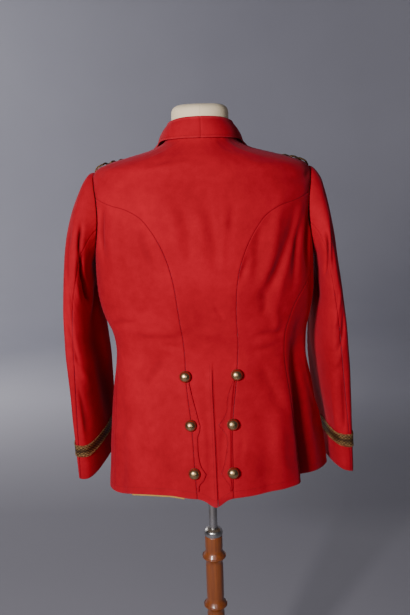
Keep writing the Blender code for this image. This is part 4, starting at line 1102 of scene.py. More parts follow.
for name, side in SIDES:
    front_arm = armhole(side, np.linspace(-90.0, -270.0, 56))
    first = np.concatenate([side_seam(name, side, 110), front_arm[1:]])
    second = front_edge(side, len(first) - 1)
    low_turn = np.linspace(first[0, 0], second[0, 0], 57)
    low = np.stack([low_turn, hem_height(low_turn)], axis=-1)
    places = crowd(patch(first, second, low, shoulder_seam(side, 56)), PANEL_COLUMNS)
    sink = front_sink(places[..., 0], places[..., 1], name)
    sewn, folded = ("left", "high"), ("low", "right")
    body_panel(f"front_cloth_{name}", f"jacket_front_{name}", places, sewn, folded, sink)

# %% [markdown]
# ## Lapels and pieces that lie on or under the back
#
# The lapels fold back on the fronts and are fuller along the fold. Under the slit lies the strip
# of the right tail that the left one laps over. A sliver of yellow lining shows below the left
# back skirt, where the lining has dropped. On each back skirt lies a slash flap: a strip whose
# inner edge runs out into two points, toward the vent. The points must stay sharp, so the edge is
# read as three separate curves that meet in them.


# %% Lapels
ALL_EDGES = ("left", "right", "low", "high")
LAY_GAP = 0.0005
LAPEL_GAP = 0.0011
LAPEL_ROLL = 0.0030
LAPEL_EDGE = (
    # height, and distance from the centre front
    (1.140, 0.010),
    (1.180, 0.050),
    (1.225, 0.082),
    (1.270, 0.103),
    (1.318, 0.118),
)
LAPEL_FOOT = (1.140, 0.003)
LAPEL_HEAD = (1.372, 0.0505)
LAPEL_ROWS, LAPEL_COLUMNS = 64, 29
inner_edge = [row for row in FRONT_EDGE if LAPEL_FOOT[0] < row[0] < LAPEL_HEAD[0]]
inner_edge = [LAPEL_FOOT] + inner_edge + [LAPEL_HEAD]
for name, side in SIDES:
    first, second = (
        through([(side * front_turn(x, h), h) for h, x in edge], LAPEL_ROWS)
        for edge in (inner_edge, LAPEL_EDGE)
    )
    low, high = (np.linspace(first[end], second[end], LAPEL_COLUMNS) for end in (0, -1))
    places = patch(first, second, low, high)
    roll = LAPEL_ROLL * (1 - np.linspace(0.0, 1.0, LAPEL_COLUMNS)[None, :]) ** 2
    rise = front_sink(places[..., 0], places[..., 1], name) + CLOTH + LAPEL_GAP + roll
    body_panel(f"lapel_cloth_{name}", f"lapel_{name}", places, (), ALL_EDGES, rise)

# %% Underlap of the vent
UNDERLAP_FOOT = 0.722
UNDERLAP_BELOW_VENT_TOP = 0.012
UNDERLAP_REACH = (-0.012, 0.034)
height = np.linspace(UNDERLAP_FOOT, VENT_TOP - UNDERLAP_BELOW_VENT_TOP, 60)[:, None]
turn = back_turn(VENT_SHIFT + np.linspace(*UNDERLAP_REACH, 14)[None, :], height)
places = np.stack([turn, np.broadcast_to(height, turn.shape)], axis=-1)
body_panel("underlap_cloth", "vent_underlap", places, (), ALL_EDGES, -(CLOTH + LAY_GAP))

# %% Lining below the hem
LINING = 0.001
LINING_DEPTH = 0.0014
LINING_TURNS = (17.5, 52.0)
LINING_REACH = (-0.0035, 0.040)
turn = np.radians(np.linspace(*LINING_TURNS, 40))
height = hem_height(turn)[None, :] + np.linspace(*LINING_REACH, 12)[:, None]
turn = np.broadcast_to(turn, height.shape)
normals = body_normal(turn, height)
wobble = 0.0004 * np.sin(centred(turn) * 0.9) + 0.0003 * np.sin(centred(turn) * 2.3 + 1.0)
points = body_point(turn, height) + normals * (wobble - CLOTH - LINING_DEPTH)[..., None]
away = edge_distance(points)
uv = np.stack([away["left"], away["low"]], axis=-1)
marks = {"seam": bell(away["high"], 0.01)}
made = shell("hem_lining_cloth", points, normals, LINING, [yellow_twill], uv, marks)
keep(made, "yellow_lining", "hem_lining")

# %% Slash flaps
TRIM_CLOTH = 0.0014
FLAP_EDGE = (
    # height, and how far the left and the right inner edge lie from the centre back
    ("top", 0.9580, 0.0455, 0.0440),
    ("first slope", 0.9200, 0.0380, 0.0290),
    ("above first point", 0.8940, 0.0320, 0.0253),
    ("first lip", 0.8800, 0.0292, 0.0176),
    ("first point", 0.8705, 0.0264, 0.0088),
    ("below first point", 0.8596, 0.0278, 0.0168),
    ("hollow head", 0.8485, 0.0320, 0.0232),
    ("hollow", 0.8370, 0.0326, 0.0245),
    ("hollow foot", 0.8110, 0.0320, 0.0210),
    ("above second point", 0.7915, 0.0280, 0.0166),
    ("second point", 0.7755, 0.0185, 0.0104),
    ("below second point", 0.7640, 0.0235, 0.0168),
    ("tail", 0.7510, 0.0332, 0.0260),
    ("foot", 0.7400, 0.0340, 0.0265),
)
FLAP_POINTS = (4, 10)
FLAP_STEP = 0.0022
FLAP_SEAM_GAP = 0.0030
FLAP_SHADE = 0.0015


def flap_edge(column):
    """The flap's inner edge from its top down, cut finely and kept sharp at its two points."""
    ends = (0,) + FLAP_POINTS + (len(FLAP_EDGE) - 1,)
    runs = []
    for start, end in zip(ends, ends[1:]):
        rows = [(row[column], row[1]) for row in FLAP_EDGE[start : end + 1]]
        runs.append(smooth_line(rows, int(round((rows[0][1] - rows[-1][1]) / FLAP_STEP))))
    return np.concatenate([runs[0]] + [run[1:] for run in runs[1:]])


for name, side in SIDES:
    column = 2 if side > 0 else 3
    edge = flap_edge(column)[::-1]
    seam = np.array(BACK_SEAM)
    outer = np.interp(edge[:, 1], seam[:, 0], seam[:, column - 1]) - FLAP_SEAM_GAP
    share = np.linspace(0.0, 1.0, 17)[None, :] ** 1.6
    offsets = side * (edge[:, :1] * (1 - share) + outer[:, None] * share)
    turn = back_turn(offsets, edge[:, 1:])
    height = np.broadcast_to(edge[:, 1:], turn.shape)
    normals = body_normal(turn, height)
    lift = body_lift(turn, height) + (LAY_GAP + TRIM_CLOTH) * (1.0 - 0.85 * ramp(0.72, 1.0, share))
    points = body_point(turn, height)
    grid, uv, marks = cloth_grid(points, normals, lift, (), ALL_EDGES)
    away = edge_distance(grid)
    # Painted shadow: a dark line along the flap's inner edge and its two ends, carried by the seam mark
    marks["seam"] = 0.9 * np.max([bell(away[edge], FLAP_SHADE) for edge in ("left", "low", "high")], axis=0)
    marks["edge"] = np.zeros(lift.shape)
    made = shell(f"flap_cloth_{name}", grid, normals, TRIM_CLOTH, [red_wool], uv, marks)
    keep(made, "red_cloth", f"slash_flap_{name}")

# %% [markdown]
# ## The collar
#
# A turned-down collar is one strip that stands up round the neck, folds over, and falls outside
# the neck seam. Here every station along it has one section: up the stand, over the fold in a
# tight round, and down the fall. Smooth curves through nine points give the section, and 251
# stations give the length. A seam at the centre back joins its two halves.

# %% Collar
COLLAR = Table(
    ("along", "neck_height", "rise", "lean", "fall_turn", "fall_height"),
    (
        (0.00, 1.425, 0.0340, 0.00, 0.0, 1.4180),
        (0.20, 1.425, 0.0322, 0.03, 34.0, 1.4170),
        (0.40, 1.425, 0.0262, 0.06, 67.0, 1.4130),
        (0.55, 1.425, 0.0210, 0.07, 92.0, 1.4080),
        (0.70, 1.416, 0.0175, 0.04, 118.0, 1.3990),
        (0.86, 1.402, 0.0130, 0.02, 143.0, 1.3770),
        (1.00, 1.386, 0.0070, 0.00, 154.5, 1.3530),
    ),
)
COLLAR_SHOULDER = 0.55
COLLAR_SEAM_GAP = 0.0013
COLLAR_LAY = 0.0062
COLLAR_FOLD_WIDTH = 0.0060
COLLAR_FOLD_DROP = 0.0040
COLLAR_FOLD = ((0.25, 0.15), (0.70, 0.15))
COLLAR_FALL = (0.38, 0.72)
COLLAR_SWELL_OUT = 0.0025
COLLAR_SWELL_UP = 0.0020
NECK_EDGE = front_edge(1.0, 160)


def neck_place(at):
    """The neck seam from the centre back round to the lapel, as a place on the left of the body."""
    height = float(COLLAR("neck_height", at))
    if at <= COLLAR_SHOULDER:
        return math.pi / 2 * at / COLLAR_SHOULDER, height
    return float(np.interp(height, NECK_EDGE[:, 1], NECK_EDGE[:, 0])), height


def collar_section(along):
    """One section of the collar, from the neck seam up its stand, over the fold and down its fall."""
    at = abs(along)
    turn, height = neck_place(at)
    ahead = body_point(*neck_place(min(at + 0.01, 1.0))) - body_point(*neck_place(max(at - 0.01, 0.0)))
    foot = body_point(turn, height) + unit(np.cross(ahead, body_normal(turn, height))) * COLLAR_SEAM_GAP
    fall_turn = math.radians(COLLAR("fall_turn", at))
    fall_height = COLLAR("fall_height", at)
    edge = body_point(fall_turn, fall_height) + body_normal(fall_turn, fall_height) * COLLAR_LAY
    lean = 1.0 - COLLAR("lean", at)
    lift = np.array([0.0, 0.0, 1.0])
    rise = float(COLLAR("rise", at))
    top = foot * np.array([lean, lean, 1.0]) + lift * rise
    outward = unit((edge - top) * np.array([1.0, 1.0, 0.0]))
    drop = min(COLLAR_FOLD_DROP, 0.5 * rise)
    width = COLLAR_FOLD_WIDTH
    fall_start = top + outward * width - lift * drop
    swell = outward * COLLAR_SWELL_OUT + lift * COLLAR_SWELL_UP
    stand_top = top - lift * drop
    section = [foot, (foot + stand_top) / 2, stand_top]
    section += [top + outward * across * width - lift * down * drop for across, down in COLLAR_FOLD]
    section.append(fall_start)
    section += [fall_start * (1.0 - share) + edge * share + swell for share in COLLAR_FALL]
    section.append(edge)
    return smooth_line(section, 34) * np.array([-1.0 if along < 0 else 1.0, 1.0, 1.0])


print("collar at the centre back %.3f m from seam to edge" % run_along(collar_section(0.0))[-1])

# %% Collar cloth
stations = np.linspace(-1.0, 1.0, 251)
grid = np.array([collar_section(s) for s in stations])
normals = unit(np.cross(np.gradient(grid, axis=0), np.gradient(grid, axis=1)))
if normals[len(stations) // 2, -2, 1] < 0:
    normals = -normals
away = edge_distance(grid)
from_middle = np.abs(stations)[:, None] * away["low"][-1].mean() / 2
middle_seam = bell(from_middle, 0.0016)
ripple = 0.0003 * np.sin(away["low"] * 38.0) * ramp(0.0, 0.02, away["left"])
lift = ripple - 0.0008 * middle_seam
marks = {
    "seam": np.maximum(0.9 * bell(from_middle, 0.0011), bell(away["left"], 0.002)),
    "edge": np.maximum(bell(away["right"], 0.003), bell(away["left"] - away["left"][:, -1:] * 0.50, 0.004)),
}
uv = np.stack([away["low"], away["left"]], axis=-1)
grid = draw_in(grid + normals * lift[..., None], CLOTH * EDGE_ROUND, ("left", "right"))
keep(shell("collar_cloth", grid, normals, CLOTH, [red_wool], uv, marks), "red_cloth", "collar")

# %% [markdown]
# ## Sleeves
#
# An empty sleeve hangs as a flattened tube. Its table gives, at each distance down from the
# shoulder, the outer and inner edge, the depth, how far forward it hangs and how it turns. Near
# the top the tube is drawn to the armhole, so that it meets the body along the seam. Each sleeve
# has two pieces, and its hind seam wanders toward the outside on the way to the cuff. The left
# sleeve has a deep fold below the armhole, which the photograph shows as a dark hook.

# %% Sleeve sections
SLEEVE_COLUMNS = "drop out_x out_z in_x in_z half_depth forward turn pitch square".split()
LEFT_SLEEVE = (
    (0.000, 0.2090, 1.3600, 0.2175, 1.1950, 0.064, 0.000, 0.0, 0.0, 2.0),
    (0.012, 0.2205, 1.3570, 0.2200, 1.1900, 0.067, 0.000, 0.0, 0.0, 2.0),
    (0.026, 0.2315, 1.3440, 0.2235, 1.1820, 0.071, 0.000, 1.0, 0.0, 2.0),
    (0.045, 0.2420, 1.3240, 0.2250, 1.1720, 0.076, 0.001, 2.0, 0.0, 2.0),
    (0.110, 0.2640, 1.2580, 0.2265, 1.1420, 0.080, 0.003, 6.0, 1.0, 2.2),
    (0.190, 0.2715, 1.1760, 0.2275, 1.1050, 0.081, 0.006, 10.0, 2.0, 2.5),
    (0.275, 0.2735, 1.0900, 0.2250, 1.0500, 0.080, 0.010, 14.0, 4.0, 2.9),
    (0.375, 0.2710, 0.9900, 0.2220, 0.9700, 0.078, 0.018, 17.0, 8.0, 3.2),
    (0.470, 0.2685, 0.8980, 0.2240, 0.8890, 0.076, 0.031, 19.0, 12.0, 3.2),
    (0.560, 0.2675, 0.8170, 0.2255, 0.8130, 0.073, 0.045, 20.0, 15.0, 3.2),
    (0.645, 0.2665, 0.7380, 0.2275, 0.7380, 0.072, 0.056, 20.0, 16.0, 3.2),
)
RIGHT_SLEEVE = (
    (0.000, 0.2090, 1.3600, 0.2175, 1.1950, 0.064, 0.000, 0.0, 0.0, 2.0),
    (0.012, 0.2190, 1.3560, 0.2200, 1.1900, 0.067, 0.000, 0.0, 0.0, 2.0),
    (0.026, 0.2305, 1.3420, 0.2235, 1.1820, 0.071, 0.000, 0.5, 0.0, 2.0),
    (0.045, 0.2380, 1.3220, 0.2250, 1.1720, 0.076, 0.001, 1.0, 0.0, 2.0),
    (0.110, 0.2505, 1.2560, 0.2265, 1.1420, 0.080, 0.003, 4.0, 0.0, 2.2),
    (0.190, 0.2575, 1.1760, 0.2265, 1.1050, 0.081, 0.006, 8.0, 1.0, 2.5),
    (0.275, 0.2655, 1.0920, 0.2250, 1.0550, 0.080, 0.010, 12.0, 2.0, 2.9),
    (0.375, 0.2735, 0.9930, 0.2260, 0.9750, 0.078, 0.018, 15.0, 3.0, 3.2),
    (0.470, 0.2805, 0.8980, 0.2350, 0.8920, 0.076, 0.030, 15.0, 4.0, 3.2),
    (0.560, 0.2870, 0.8080, 0.2475, 0.8110, 0.073, 0.043, 14.0, 5.0, 3.2),
    (0.645, 0.2930, 0.7210, 0.2535, 0.7310, 0.072, 0.054, 13.0, 5.0, 3.2),
)
SLEEVES = {"left": Table(SLEEVE_COLUMNS, LEFT_SLEEVE), "right": Table(SLEEVE_COLUMNS, RIGHT_SLEEVE)}
SLEEVE_LENGTH = 0.645
SLEEVE_HEAD_GAP = 0.0012
SLEEVE_CROWN = 0.085
# Angle of the hind seam on the ring, by distance down the sleeve
HIND_SEAM = Table(
    ("drop", "angle"),
    ((0.0, -17.5), (0.1, -22.0), (0.2, -16.0), (0.32, -6.0), (0.48, 4.0), (0.56, 12.0), (0.645, 20.0)),
)
FORE_SEAM = -157.5
print("rows of a sleeve:", len(SLEEVES["left"].key))

# %% Creases of the sleeves
SLEEVE_ROUND = 0.060
SLEEVE_SHARE = 0.25
SLEEVE_CREASES = {
    "left": (
        # angle and drop where it starts, the same where it ends, width and size in millimetres
        ("hook head", 14.0, 0.046, -20.0, 0.068, 7.0, -3.5),
        ("hook", -18.0, 0.064, -46.0, 0.116, 7.5, -5.0),
        ("hook foot", -42.0, 0.108, -74.0, 0.186, 8.0, -5.0),
        ("beside the hook", -4.0, 0.086, -40.0, 0.190, 11.0, 2.6),
        ("upper sleeve hollow", 30.0, 0.060, 22.0, 0.190, 14.0, -1.6),
        ("elbow ridge", 14.0, 0.200, -30.0, 0.330, 12.0, 2.4),
        ("elbow hollow", 20.0, 0.262, -34.0, 0.372, 10.0, -2.6),
        ("elbow second", 6.0, 0.330, -52.0, 0.410, 10.0, 1.8),
        ("forearm hollow", -6.0, 0.400, -40.0, 0.540, 12.0, -2.2),
        ("front elbow hollow", 170.0, 0.290, 120.0, 0.330, 12.0, -3.0),
        ("front elbow ridge", 182.0, 0.330, 130.0, 0.372, 11.0, 2.2),
        ("outer hollow", 74.0, 0.180, 62.0, 0.320, 14.0, -1.8),
        ("outer forearm", 96.0, 0.380, 84.0, 0.540, 15.0, 1.5),
        # The inner drag and inner fold also paint shade on the sleeve's inner side
        ("inner drag", -100.0, 0.120, -84.0, 0.260, 12.0, -2.6),
        ("inner fold", -96.0, 0.240, -108.0, 0.640, 24.0, -3.4),
    ),
    "right": (
        ("armhole hollow", -8.0, 0.050, -40.0, 0.122, 8.0, -3.8),
        ("armhole ridge", 6.0, 0.078, -22.0, 0.160, 10.0, 2.2),
        ("upper hollow", 34.0, 0.090, 24.0, 0.210, 13.0, -1.8),
        ("elbow ridge", 12.0, 0.230, -28.0, 0.318, 11.0, 2.6),
        ("elbow hollow", 22.0, 0.280, -30.0, 0.360, 10.0, -2.8),
        ("elbow second", 10.0, 0.345, -44.0, 0.398, 9.0, 1.7),
        ("forearm hollow", 2.0, 0.410, -30.0, 0.560, 12.0, -2.3),
        ("forearm ridge", -30.0, 0.430, -52.0, 0.560, 11.0, 1.8),
        ("front elbow hollow", 166.0, 0.300, 118.0, 0.322, 12.0, -2.8),
        ("front elbow ridge", 176.0, 0.335, 124.0, 0.366, 10.0, 2.4),
        ("outer hollow", 80.0, 0.150, 66.0, 0.290, 13.0, -2.0),
        ("outer forearm", 90.0, 0.400, 100.0, 0.545, 14.0, 1.6),
        # The inner drag and inner fold also paint shade on the sleeve's inner side
        ("inner drag", -104.0, 0.105, -90.0, 0.240, 11.0, -2.4),
        ("inner fold", -118.0, 0.200, -124.0, 0.600, 24.0, -3.0),
    ),
}
print("creases on the sleeves:", {name: len(lines) for name, lines in SLEEVE_CREASES.items()})


# %% Surface of a sleeve
def sleeve_ring(name, around, drop):
    """A sleeve's ring before it is drawn to the armhole; around is in radians."""
    table = SLEEVES[name]
    turn = np.radians(table("turn", drop))
    out_x, out_z, in_x, in_z = (table(label, drop) for label in ("out_x", "out_z", "in_x", "in_z"))
    square = table("square", drop)
    reach = (np.abs(np.cos(around)) ** square + np.abs(np.sin(around)) ** square) ** (-1.0 / square)
    depth = table("half_depth", drop) * reach * np.cos(around)
    rise = reach * np.sin(around)
    x = (out_x + in_x) / 2 + depth * np.sin(turn) + rise * (out_x - in_x) / 2
    y = depth * np.cos(turn) - table("forward", drop)
    z = (out_z + in_z) / 2 + rise * (out_z - in_z) / 2 - depth * np.sin(np.radians(table("pitch", drop)))
    return np.stack(np.broadcast_arrays(x, y, z), axis=-1)


def sleeve_point(name, side, around, drop):
    """A point of a sleeve's outer face; drop is its distance down from the shoulder."""
    around, drop = np.broadcast_arrays(np.asarray(around, float), np.asarray(drop, float))
    place = armhole(1.0, np.degrees(around))
    seam = body_point(place[..., 0], place[..., 1])
    pull = (1.0 - ramp(0.0, SLEEVE_CROWN, drop))[..., None]
    start = sleeve_ring(name, around, np.zeros(drop.shape))
    return (sleeve_ring(name, around, drop) + (seam - start) * pull) * np.array([side, 1.0, 1.0])


def sleeve_normal(name, side, around, drop):
    """The outward direction of a sleeve's face."""
    turned = sleeve_point(name, side, around + STEP, drop) - sleeve_point(name, side, around - STEP, drop)
    higher = np.maximum(drop - STEP, 0.0)
    along = sleeve_point(name, side, around, drop + STEP) - sleeve_point(name, side, around, higher)
    return side * unit(np.cross(turned, along))


def sleeve_lift(name, around, drop):
    """Every crease and the faint unevenness of a sleeve."""
    angle = (np.degrees(around) + 180.0) % 360.0 - 180.0
    lift = np.zeros(np.broadcast(angle, drop).shape)
    for wrap in (-360.0, 0.0, 360.0):
        across = np.radians(angle + wrap) * SLEEVE_ROUND
        lift = lift + line_lift(SLEEVE_CREASES[name], across, drop, SLEEVE_ROUND)
    phase = 0.7 if name == "left" else 2.6
    for count, rise, start, size in WAVES[:-1]:
        ring = round(count * SLEEVE_SHARE)
        lift = lift + size * 0.001 * np.sin(ring * around + 2 * math.pi * rise * drop + start + phase)
    return lift * ramp(0.0, 0.04, drop)


wrist = sleeve_point("left", 1.0, np.linspace(0.0, 2 * math.pi, 181), SLEEVE_LENGTH)
print("round the left cuff %.3f m" % run_along(wrist)[-1])


# %% Sleeves
# Crease depth at which the painted shade on a sleeve is full
SLEEVE_FULL_SHADE_CREASE = 0.0065
SLEEVE_PIECE_COLUMNS = 61
SLEEVE_SEAM_SHADE = 0.55


def sleeve_grid(name, side, around, drop, lift=0.0):
    """Points and normals of a sleeve's surface, with its creases."""
    around, drop = np.broadcast_arrays(np.asarray(around, float), np.asarray(drop, float))
    normals = sleeve_normal(name, side, around, drop)
    return sleeve_point(name, side, around, drop), normals, sleeve_lift(name, around, drop) + lift


drops = np.concatenate([[SLEEVE_HEAD_GAP, 0.0022, 0.0036], np.linspace(0.0055, SLEEVE_LENGTH, 142)])
for name, side in SIDES:
    hind = HIND_SEAM("angle", drops)[:, None]
    for piece, first, second in (("top", hind, FORE_SEAM + 360.0), ("under", FORE_SEAM, hind)):
        around = np.radians(first + (second - first) * crowded(SLEEVE_PIECE_COLUMNS)[None, :])
        points, normals, lift = sleeve_grid(name, side, around, drops[:, None])
        grid, uv, marks = cloth_grid(points, normals, lift, ("left", "right", "low"), ("high",))
        marks["seam"] = SLEEVE_SEAM_SHADE * marks["seam"]
        # Painted shade in the sleeve's creases
        marks["deep"] = np.clip(-lift / SLEEVE_FULL_SHADE_CREASE, 0.0, 1.0)
        title = f"sleeve_{piece}_cloth_{name}"
        made = shell(title, grid, normals, CLOTH, [red_wool, yellow_twill], uv, marks)
        keep(made, "red_cloth", f"sleeve_{piece}_{name}")

# %% [markdown]
# ## Gold lace round the cuffs
#
# Lace of this kind is a flat woven band. It is laid on the cuff as a closed ring of its own,
# a hair above the wool, and its figured weave is in its material.

# %% Cuff lace
LACE_LOW = 0.062
LACE_HIGH = 0.086
LACE_ROWS = 9
LACE_MIDDLE = 0.32
for name, side in SIDES:
    around = np.linspace(0.0, 2 * math.pi, 150, endpoint=False)[None, :]
    drop = (SLEEVE_LENGTH - np.linspace(LACE_HIGH, LACE_LOW, LACE_ROWS))[:, None]
    points, normals, lift = sleeve_grid(name, side, around, drop, LAY_GAP + TRIM_CLOTH)
    outer = points + normals * lift[..., None]
    along = np.broadcast_to(run_along(outer[0]), outer.shape[:2])
    uv = np.stack([along, np.broadcast_to(drop, along.shape)], axis=-1)
    marks = {"hollow": bell(np.linspace(-1.0, 1.0, LACE_ROWS), LACE_MIDDLE)[:, None]}
    made = shell(f"cuff_lace_band_{name}", outer, normals, TRIM_CLOTH, [gold_lace], uv, marks, closed=True)
    keep(made, "gold_lace", f"cuff_lace_{name}")

# %% [markdown]
# ## Plaited shoulder cords
#
# A gold cord is made of strands twisted round each other. Rather than model each strand, one tube
# is given a section with three lobes, and the lobes turn as they run along it. The path is that
# of the CAD: doubled at the sleeve head and plaited toward the collar.

# %% Shoulder cords
CORD_RADIUS = 0.0019
CORD_OUTER_X = 0.204
CORD_INNER_X = 0.126
CORD_END_X = 0.2125
CORD_SWING = 0.0075
CORD_CROSSINGS = 5
CORD_STEPS = 25
CORD_OUTER_TURN = 103.0
CORD_INNER_TURN = 136.0
SMALL_BUTTON_RADIUS = 0.0080


def shoulder_place(x):
    """Turn and height of the place x metres out on the shoulder's ridge."""
    heights = np.linspace(NECK_SEAM, ARMHOLE_TOP, 60)
    share = (x - CORD_INNER_X) / (CORD_OUTER_X - CORD_INNER_X)
    turn = math.radians(CORD_INNER_TURN + (CORD_OUTER_TURN - CORD_INNER_TURN) * share)
    return turn, float(np.interp(x, body_point(turn, heights)[:, 0], heights))


def shoulder_frame(x, side):
    """The place on the shoulder, its outward direction, and the direction across the strap."""
    turn, height = shoulder_place(x)
    nearer, farther = (shoulder_place(x + shift) for shift in (-0.004, 0.004))
    normal = body_normal(turn * side, height)
    run = body_point(nearer[0] * side, nearer[1]) - body_point(farther[0] * side, farther[1])
    return body_point(turn * side, height), normal, unit(np.cross(unit(run), normal))


def cord_path(side):
    """The middle line of one shoulder cord."""
    lay = 2 * CORD_RADIUS + LAY_GAP
    lift = CORD_RADIUS + LAY_GAP + 0.5 * lay
    path = []
    for strand in (1.0, -1.0):
        for step in range(CORD_STEPS)[:: int(strand)]:
            share = (step + 0.5) / CORD_STEPS
            phase = math.pi * CORD_CROSSINGS * share
            point, normal, across = shoulder_frame(CORD_INNER_X + (CORD_OUTER_X - CORD_INNER_X) * share, side)
            straight = share > 1.0 - 0.5 / CORD_CROSSINGS
            swing = strand * CORD_SWING * (1.0 if straight else math.sin(phase))
            weave = 0.0 if straight else strand * math.cos(phase) * 0.5 * lay
            path.append(point + normal * (lift + weave) + across * swing)
        if strand > 0:
            for angle in (54.0, 18.0, -18.0, -54.0):
                bend = math.radians(angle)
                x = min(CORD_OUTER_X + 0.7 * CORD_SWING * math.cos(bend), CORD_END_X)
                point, normal, across = shoulder_frame(x, side)
                path.append(point + normal * lift + across * CORD_SWING * math.sin(bend))
    return np.array(path)


print("one shoulder cord is %.3f m long" % run_along(cord_path(1.0))[-1])


# %% Twisted cord
CORD_PITCH = 0.0065
CORD_LOBES = 3
CORD_SIDES = 18


def twisted_cord(name, path, radius, material):
    """A cord whose lobed section turns as it runs along its path, closed at both ends."""
    sides = CORD_SIDES
    ahead = unit(np.gradient(path, axis=0))
    along = run_along(path)
    spoke = np.array([0.0, 0.0, 1.0])
    angles = np.linspace(0.0, 2 * math.pi, sides, endpoint=False)
    rings, hollow = [], []
    for point, direction, run in zip(path, ahead, along):
        spoke = unit(spoke - direction * np.dot(spoke, direction))
        other = np.cross(direction, spoke)
        lobe = np.cos(CORD_LOBES * (angles - 2 * math.pi * run / (CORD_PITCH * CORD_LOBES)))
        reach = radius * (0.86 + 0.14 * np.abs(np.cos(0.5 * np.arccos(lobe))) ** 0.7)
        spokes = np.cos(angles)[:, None] * spoke + np.sin(angles)[:, None] * other
        rings.append(point + spokes * reach[:, None])
        hollow.append(np.clip(0.5 - 0.5 * lobe, 0.0, 1.0) ** 3)
    count = len(path) * sides
    index = np.arange(count).reshape(len(path), sides)
    beside = np.roll(index, -1, axis=1)
    quads = np.stack([index[:-1], beside[:-1], beside[1:], index[1:]], axis=-1)
    caps = [np.stack([np.full(sides, count), beside[0], index[0]], axis=-1)]
    caps.append(np.stack([np.full(sides, count + 1), index[-1], beside[-1]], axis=-1))
    tip = ahead * radius * 0.3
    points = np.concatenate(rings + [path[:1] - tip[:1], path[-1:] + tip[-1:]])
    uv = np.stack([np.repeat(along, sides), np.tile(angles * radius, len(path))], axis=-1)
    uv = np.concatenate([uv, uv[:1], uv[-1:]])
    marks = {"hollow": np.concatenate(hollow + [[0.5, 0.5]])}
    return new_piece(name, points, quads, [material], np.concatenate(caps), uv=uv, marks=marks)


for name, side in SIDES:
    path = smooth_line(cord_path(side), 620)
    made = twisted_cord(f"shoulder_plait_{name}", path, CORD_RADIUS, gold_lace)
    keep(made, "gold_lace", f"shoulder_cord_{name}")

# %% [markdown]
# ## Ball buttons
#
# The buttons are turned shapes, so a profile and a lathe make them: a shank, a rolled rim, a fine
# groove and a high dome. The mark *hollow* is 1 in the groove and on the back, where tarnish
# gathers. The domes are left plain.

# %% Lathe
def lathe(profile, sides, place=(0.0, 0.0, 0.0), axis=(0.0, 0.0, 1.0)):
    """Points, quads and triangles of a turned shape; its profile of (radius, level) runs upward."""
    axis = unit(np.array(axis, float))
    helper = np.array([1.0, 0.0, 0.0]) if abs(axis[0]) < 0.9 else np.array([0.0, 1.0, 0.0])
    first = unit(np.cross(helper, axis))
    second = np.cross(axis, first)
    angles = np.linspace(0.0, 2 * math.pi, sides, endpoint=False)
    spokes = np.cos(angles)[:, None] * first + np.sin(angles)[:, None] * second
    points, quads, triangles, rings = [], [], [], []
    count = 0
    for radius, level in profile:
        ring = np.array([axis * level]) if radius < 1e-9 else spokes * radius + axis * level
        points.append(ring + np.array(place, float))
        rings.append(count + np.arange(len(ring)))
        count += len(ring)
    for low, high in zip(rings, rings[1:]):
        if len(low) > 1 and len(high) > 1:
            quads.append(np.stack([low, np.roll(low, -1), np.roll(high, -1), high], axis=-1))
        elif len(high) > 1:
            triangles.append(np.stack([np.full(sides, low[0]), np.roll(high, -1), high], axis=-1))
        else:
            triangles.append(np.stack([low, np.roll(low, -1), np.full(sides, high[0])], axis=-1))
    flat = np.concatenate(triangles) if triangles else np.zeros((0, 3), int)
    return np.concatenate(points), np.concatenate(quads), flat


print("a turned cup of eight sides has", len(lathe([(0.0, 0.0), (1.0, 0.0), (1.0, 1.0)], 8)[0]), "points")

# %% Buttons
BUTTON_RADIUS = 0.0115
BUTTON_DOME = 0.80
BUTTON_SIDES = 40
WAIST_BUTTON = 0.964
BUTTON_DROP = 0.0935
BACK_BUTTONS = (
    # height, and how far the left and the right one lie from the centre back
    (WAIST_BUTTON, 0.0512, 0.0492),
    (WAIST_BUTTON - BUTTON_DROP, 0.0446, 0.0370),
    (WAIST_BUTTON - 2 * BUTTON_DROP, 0.0415, 0.0337),
)
FRONT_BUTTONS = (1.086, 1.004, 0.922, 0.840)


def make_button(name, place, direction, radius, node):
    """A half-ball button on its shank, in place of the CAD's."""
    seat = 0.0026
    rim = seat + 0.0012
    rows = [(0.0, 0.0, 1.0), (0.3 * radius, 0.0, 1.0), (0.3 * radius, seat * 0.8, 1.0)]
    rows += [(0.34 * radius, seat, 1.0), (0.80 * radius, rim - 0.0006, 1.0)]
    rows += [(0.965 * radius, rim - 0.0004, 0.8), (radius, rim, 0.9), (radius * 0.998, rim + 0.0005, 0.8)]
    rows += [(0.978 * radius, rim + 0.0008, 0.9), (0.955 * radius, rim + 0.0007, 1.0)]
    for angle in np.linspace(4.0, 86.0, 15):
        bend = math.radians(angle)
        reach = 0.955 * radius * math.cos(bend)
        rise = (BUTTON_DOME * radius - 0.0007) * math.sin(bend)
        rows.append((reach, rim + 0.0007 + rise, bell(angle, 17.0) * 0.75))
    rows.append((0.0, rim + BUTTON_DOME * radius, 0.0))
    points, quads, triangles = lathe([row[:2] for row in rows], BUTTON_SIDES, place, direction)
    hollow = np.repeat([row[2] for row in rows], [BUTTON_SIDES if row[0] else 1 for row in rows])
    made = new_piece(name, points, quads, [button_brass], triangles, marks={"hollow": hollow})
    keep(made, "button_brass", node)


def button_on_body(name, node, turn, height, lift=0.0, radius=BUTTON_RADIUS):
    """A button that stands on the body's surface, or on what lies there."""
    normal = body_normal(turn, height)
    lift = lift + LAY_GAP + float(body_lift(turn, height))
    make_button(name, body_point(turn, height) + normal * lift, normal, radius, node)


